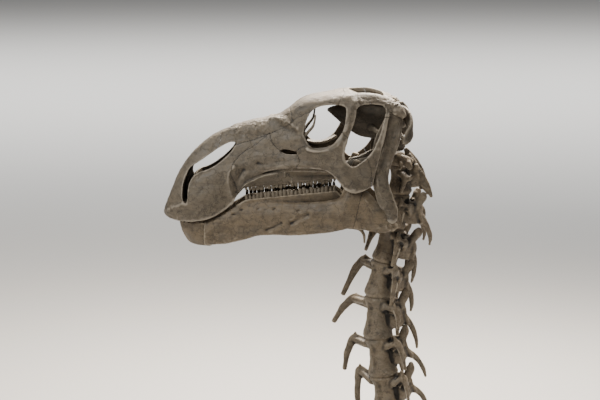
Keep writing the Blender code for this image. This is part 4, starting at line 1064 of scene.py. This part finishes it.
neck = {}
for name, turn, maker, ends in (("atlas", ATLAS_TURN, atlas, NECK_JOINTS[:2]),
                                ("axis", AXIS_TURN, axis, NECK_JOINTS[1:3])):
    neck[name] = grown(maker(), VERTEBRA_GRAIN, 3, FILLET)
    place, _ = neck_frame(*ends, turn)
    weather(neck[name], (.030, .0022), (.010, .0012), (.004, .0005))
    neck[name].data.transform(place)
for (name, (turn, *shape)), upper, lower in zip(VERTEBRAE.items(), NECK_JOINTS[2:], NECK_JOINTS[3:]):
    place, length = neck_frame(upper, lower, turn)
    neck[name] = grown(vertebra(length, *shape), VERTEBRA_GRAIN, 3, FILLET)
    carve(neck[name], vertebra_relief(length, shape[0]), plane=(1, 2), across=0)
    neck[name].data.transform(place)
    weather(neck[name], (.030, .0026), (.011, .0014), (.004, .0006))
fit(neck["atlas"], braincase)
for upper, lower in zip(list(neck), list(neck)[1:]):
    fit(neck[upper], neck[lower])
for name, body in neck.items():
    finish(body, "bone_" + name, neck_bone, Matrix(), name)

# ---------------------------------------------------------------- the stand
# A bevelled steel plate with a turned post on a screwed flange, blackened and waxed. The last vertebra sits
# in a turned cup on the post.
BASE_SIZE = (.70, .45, .020)
POST_X = .148
FOOT = .0203  # underside of the flange, a hair above the plate
POST_TOP, CUP_TOP = .205, .262
SCREW_CIRCLE, SCREW_RADIUS, SOCKET_RADIUS = .034, .0050, .0027
WAX_CLOUD = .040  # the wax is wiped on by hand and lies in clouds a few centimetres wide
blackened_steel = bpy.data.materials.new("blackened_waxed_steel")
blackened_steel.use_nodes = True
tree = blackened_steel.node_tree
shader = tree.nodes["Principled BSDF"]
place = add(tree, "TexCoord", {})["Object"]
clouds = add(tree, "TexNoise", {"Vector": place, "Scale": 1 / WAX_CLOUD, "Detail": 4, "Roughness": .6})["Fac"]
tone = add(tree, "ValToRGB", {"Fac": clouds}, ((.35, paint("#2b2b2d")), (.65, paint("#3a3a3b"))))["Color"]
rough = add(tree, "MapRange",
            {"Value": clouds, "From Min": .3, "From Max": .7, "To Min": .36, "To Max": .50})["Result"]
tree.links.new(tone, shader.inputs["Base Color"])
tree.links.new(rough, shader.inputs["Roughness"])
shader.inputs["Metallic"].default_value = .85


def turned(profile, sides=64):
    """A body spun from a (radius, height) profile about the post's axis."""
    bm = bmesh.new()
    chain = [bm.verts.new((POST_X + r, 0, z)) for r, z in profile]
    for one, two in zip(chain, chain[1:]):
        bm.edges.new((one, two))
    bmesh.ops.spin(bm, geom=[*bm.verts, *bm.edges], cent=(POST_X, 0, 0), axis=(0, 0, 1), angle=2 * math.pi,
                   steps=sides, use_merge=True)
    bmesh.ops.remove_doubles(bm, verts=bm.verts, dist=1e-6)
    bmesh.ops.holes_fill(bm, edges=bm.edges)
    bmesh.ops.recalc_face_normals(bm, faces=bm.faces)
    return placed(bm)


def stand_piece(target, name, node):
    dress(target, name, blackened_steel, 30)
    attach(target, "root")
    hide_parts(node)


bm = bmesh.new()
thick = BASE_SIZE[2]
bmesh.ops.create_cube(bm, size=1,
                      matrix=Matrix.Translation((0, 0, thick / 2)) @ Matrix.Diagonal((*BASE_SIZE, 1)))
corners = [e for e in bm.edges if abs(e.verts[0].co.z - e.verts[1].co.z) > thick / 2]
bmesh.ops.bevel(bm, geom=corners, offset=.012, segments=8, profile=.5, affect="EDGES", material=-1)
rims = [e for e in bm.edges if abs(e.verts[0].co.z - e.verts[1].co.z) < 1e-6 and len(e.link_faces) == 2
        and e.calc_face_angle(0) > .5]
bmesh.ops.bevel(bm, geom=rims, offset=.002, segments=3, profile=.5, affect="EDGES", material=-1)
stand_piece(placed(bm), "stand_base_plate", "stand_base")
post = turned([(0, FOOT), (.0490, FOOT), (.0500, FOOT + .001), (.0500, FOOT + .010), (.0480, FOOT + .012),
               (.0200, FOOT + .012), (.0175, FOOT + .013), (.0163, FOOT + .016), (.0160, FOOT + .020),
               (.0160, POST_TOP - .001), (.0150, POST_TOP), (0, POST_TOP)])
stand_piece(post, "stand_turned_post", "stand_post")
for turn in range(4):
    angle = math.radians(45 + 90 * turn)
    bm = bmesh.new()
    spot = Matrix.Translation((POST_X + SCREW_CIRCLE * math.cos(angle), SCREW_CIRCLE * math.sin(angle),
                               FOOT + .0138))
    bmesh.ops.create_cone(bm, cap_ends=True, segments=32, radius1=SCREW_RADIUS, radius2=SCREW_RADIUS,
                          depth=.0050, matrix=spot)
    top = max(bm.faces, key=lambda face: face.calc_center_median().z)
    bmesh.ops.bevel(bm, geom=list(top.edges), offset=.0006, segments=2, profile=.5, affect="EDGES",
                    material=-1)
    screw = placed(bm)
    bm = bmesh.new()
    bmesh.ops.create_cone(bm, cap_ends=True, segments=6, radius1=SOCKET_RADIUS, radius2=SOCKET_RADIUS,
                          depth=.0050, matrix=spot @ Matrix.Translation((0, 0, .0028)))
    combine(screw, placed(bm))
    stand_piece(screw, f"stand_screw_{turn + 1}", "stand_post")
cup = turned([(0, POST_TOP + .0003), (.0190, POST_TOP + .0003), (.0200, POST_TOP + .001),
              (.0390, POST_TOP + .019), (.0400, POST_TOP + .021), (.0400, CUP_TOP - .002),
              (.0390, CUP_TOP - .0006), (.0380, CUP_TOP), (.0365, CUP_TOP), (.0355, CUP_TOP - .001),
              (.0340, CUP_TOP - .006), (0, CUP_TOP - .008)])
fit(cup, neck["cervical_8"])
stand_piece(cup, "stand_turned_cup", "stand_cup")

# ---------------------------------------------------------------- studio
# A plain pale floor and three soft lamps: a strong one above and behind, a weak one in front, and one that
# only lights the floor far behind. A dim even sky fills the shade.
floor_mesh = bmesh.new()
bmesh.ops.create_grid(floor_mesh, x_segments=1, y_segments=1, size=60)
floor = placed(floor_mesh, "studio_floor")
floor_paint = bpy.data.materials.new("matt_floor_paint")
floor_paint.use_nodes = True
shader = floor_paint.node_tree.nodes["Principled BSDF"]
shader.inputs["Base Color"].default_value = paint("#c9c7c3")
shader.inputs["Roughness"].default_value = .9
floor.data.materials.append(floor_paint)
world = bpy.data.worlds.new("studio")
world.use_nodes = True
sky = world.node_tree.nodes["Background"]
sky.inputs["Color"].default_value = paint("#d5d6d8")
sky.inputs["Strength"].default_value = .32
bpy.context.scene.world = world


def soft_lamp(name, place, aim, size, power, tint):
    """A rectangular lamp that faces its aim."""
    lamp = bpy.data.lights.new(name, "AREA")
    lamp.shape = "RECTANGLE"
    lamp.size, lamp.size_y = size
    lamp.energy = power
    lamp.color = paint(tint)[:3]
    holder = bpy.data.objects.new(name, lamp)
    holder.location = place
    holder.rotation_euler = (Vector(place) - Vector(aim)).to_track_quat("Z", "Y").to_euler()
    bpy.context.scene.collection.objects.link(holder)


soft_lamp("top_back_lamp", (.45, 1.15, 3.0), (-.15, 0, 1.1), (2.0, 1.0), 430, "#fff4e6")
soft_lamp("key_lamp", (-1.6, -1.5, 2.9), (-.2, 0, 1.0), (1.3, 1.3), 75, "#fffcf6")
soft_lamp("floor_lamp", (0, 14, 9), (0, 17, 0), (22, 12), 4200, "#ffffff")

# ---------------------------------------------------------------- camera
# A long lens six metres off the skull's left side, a little above it.
CAMERA_TARGET = Vector((-.155, 0, .972))
CAMERA_DISTANCE = 6.0
CAMERA_ELEVATION = math.radians(9)
VIEW_WIDTH = 600 / 298  # metres across the picture, at the target

camera_data = bpy.data.cameras.new("camera")
camera_data.lens = camera_data.sensor_width * CAMERA_DISTANCE / VIEW_WIDTH
camera_data.clip_end = 200
camera = bpy.data.objects.new("camera", camera_data)
towards = Vector((0, -math.cos(CAMERA_ELEVATION), math.sin(CAMERA_ELEVATION)))
camera.location = CAMERA_TARGET + towards * CAMERA_DISTANCE
camera.rotation_euler = towards.to_track_quat("Z", "Y").to_euler()
bpy.context.scene.collection.objects.link(camera)
bpy.context.scene.camera = camera
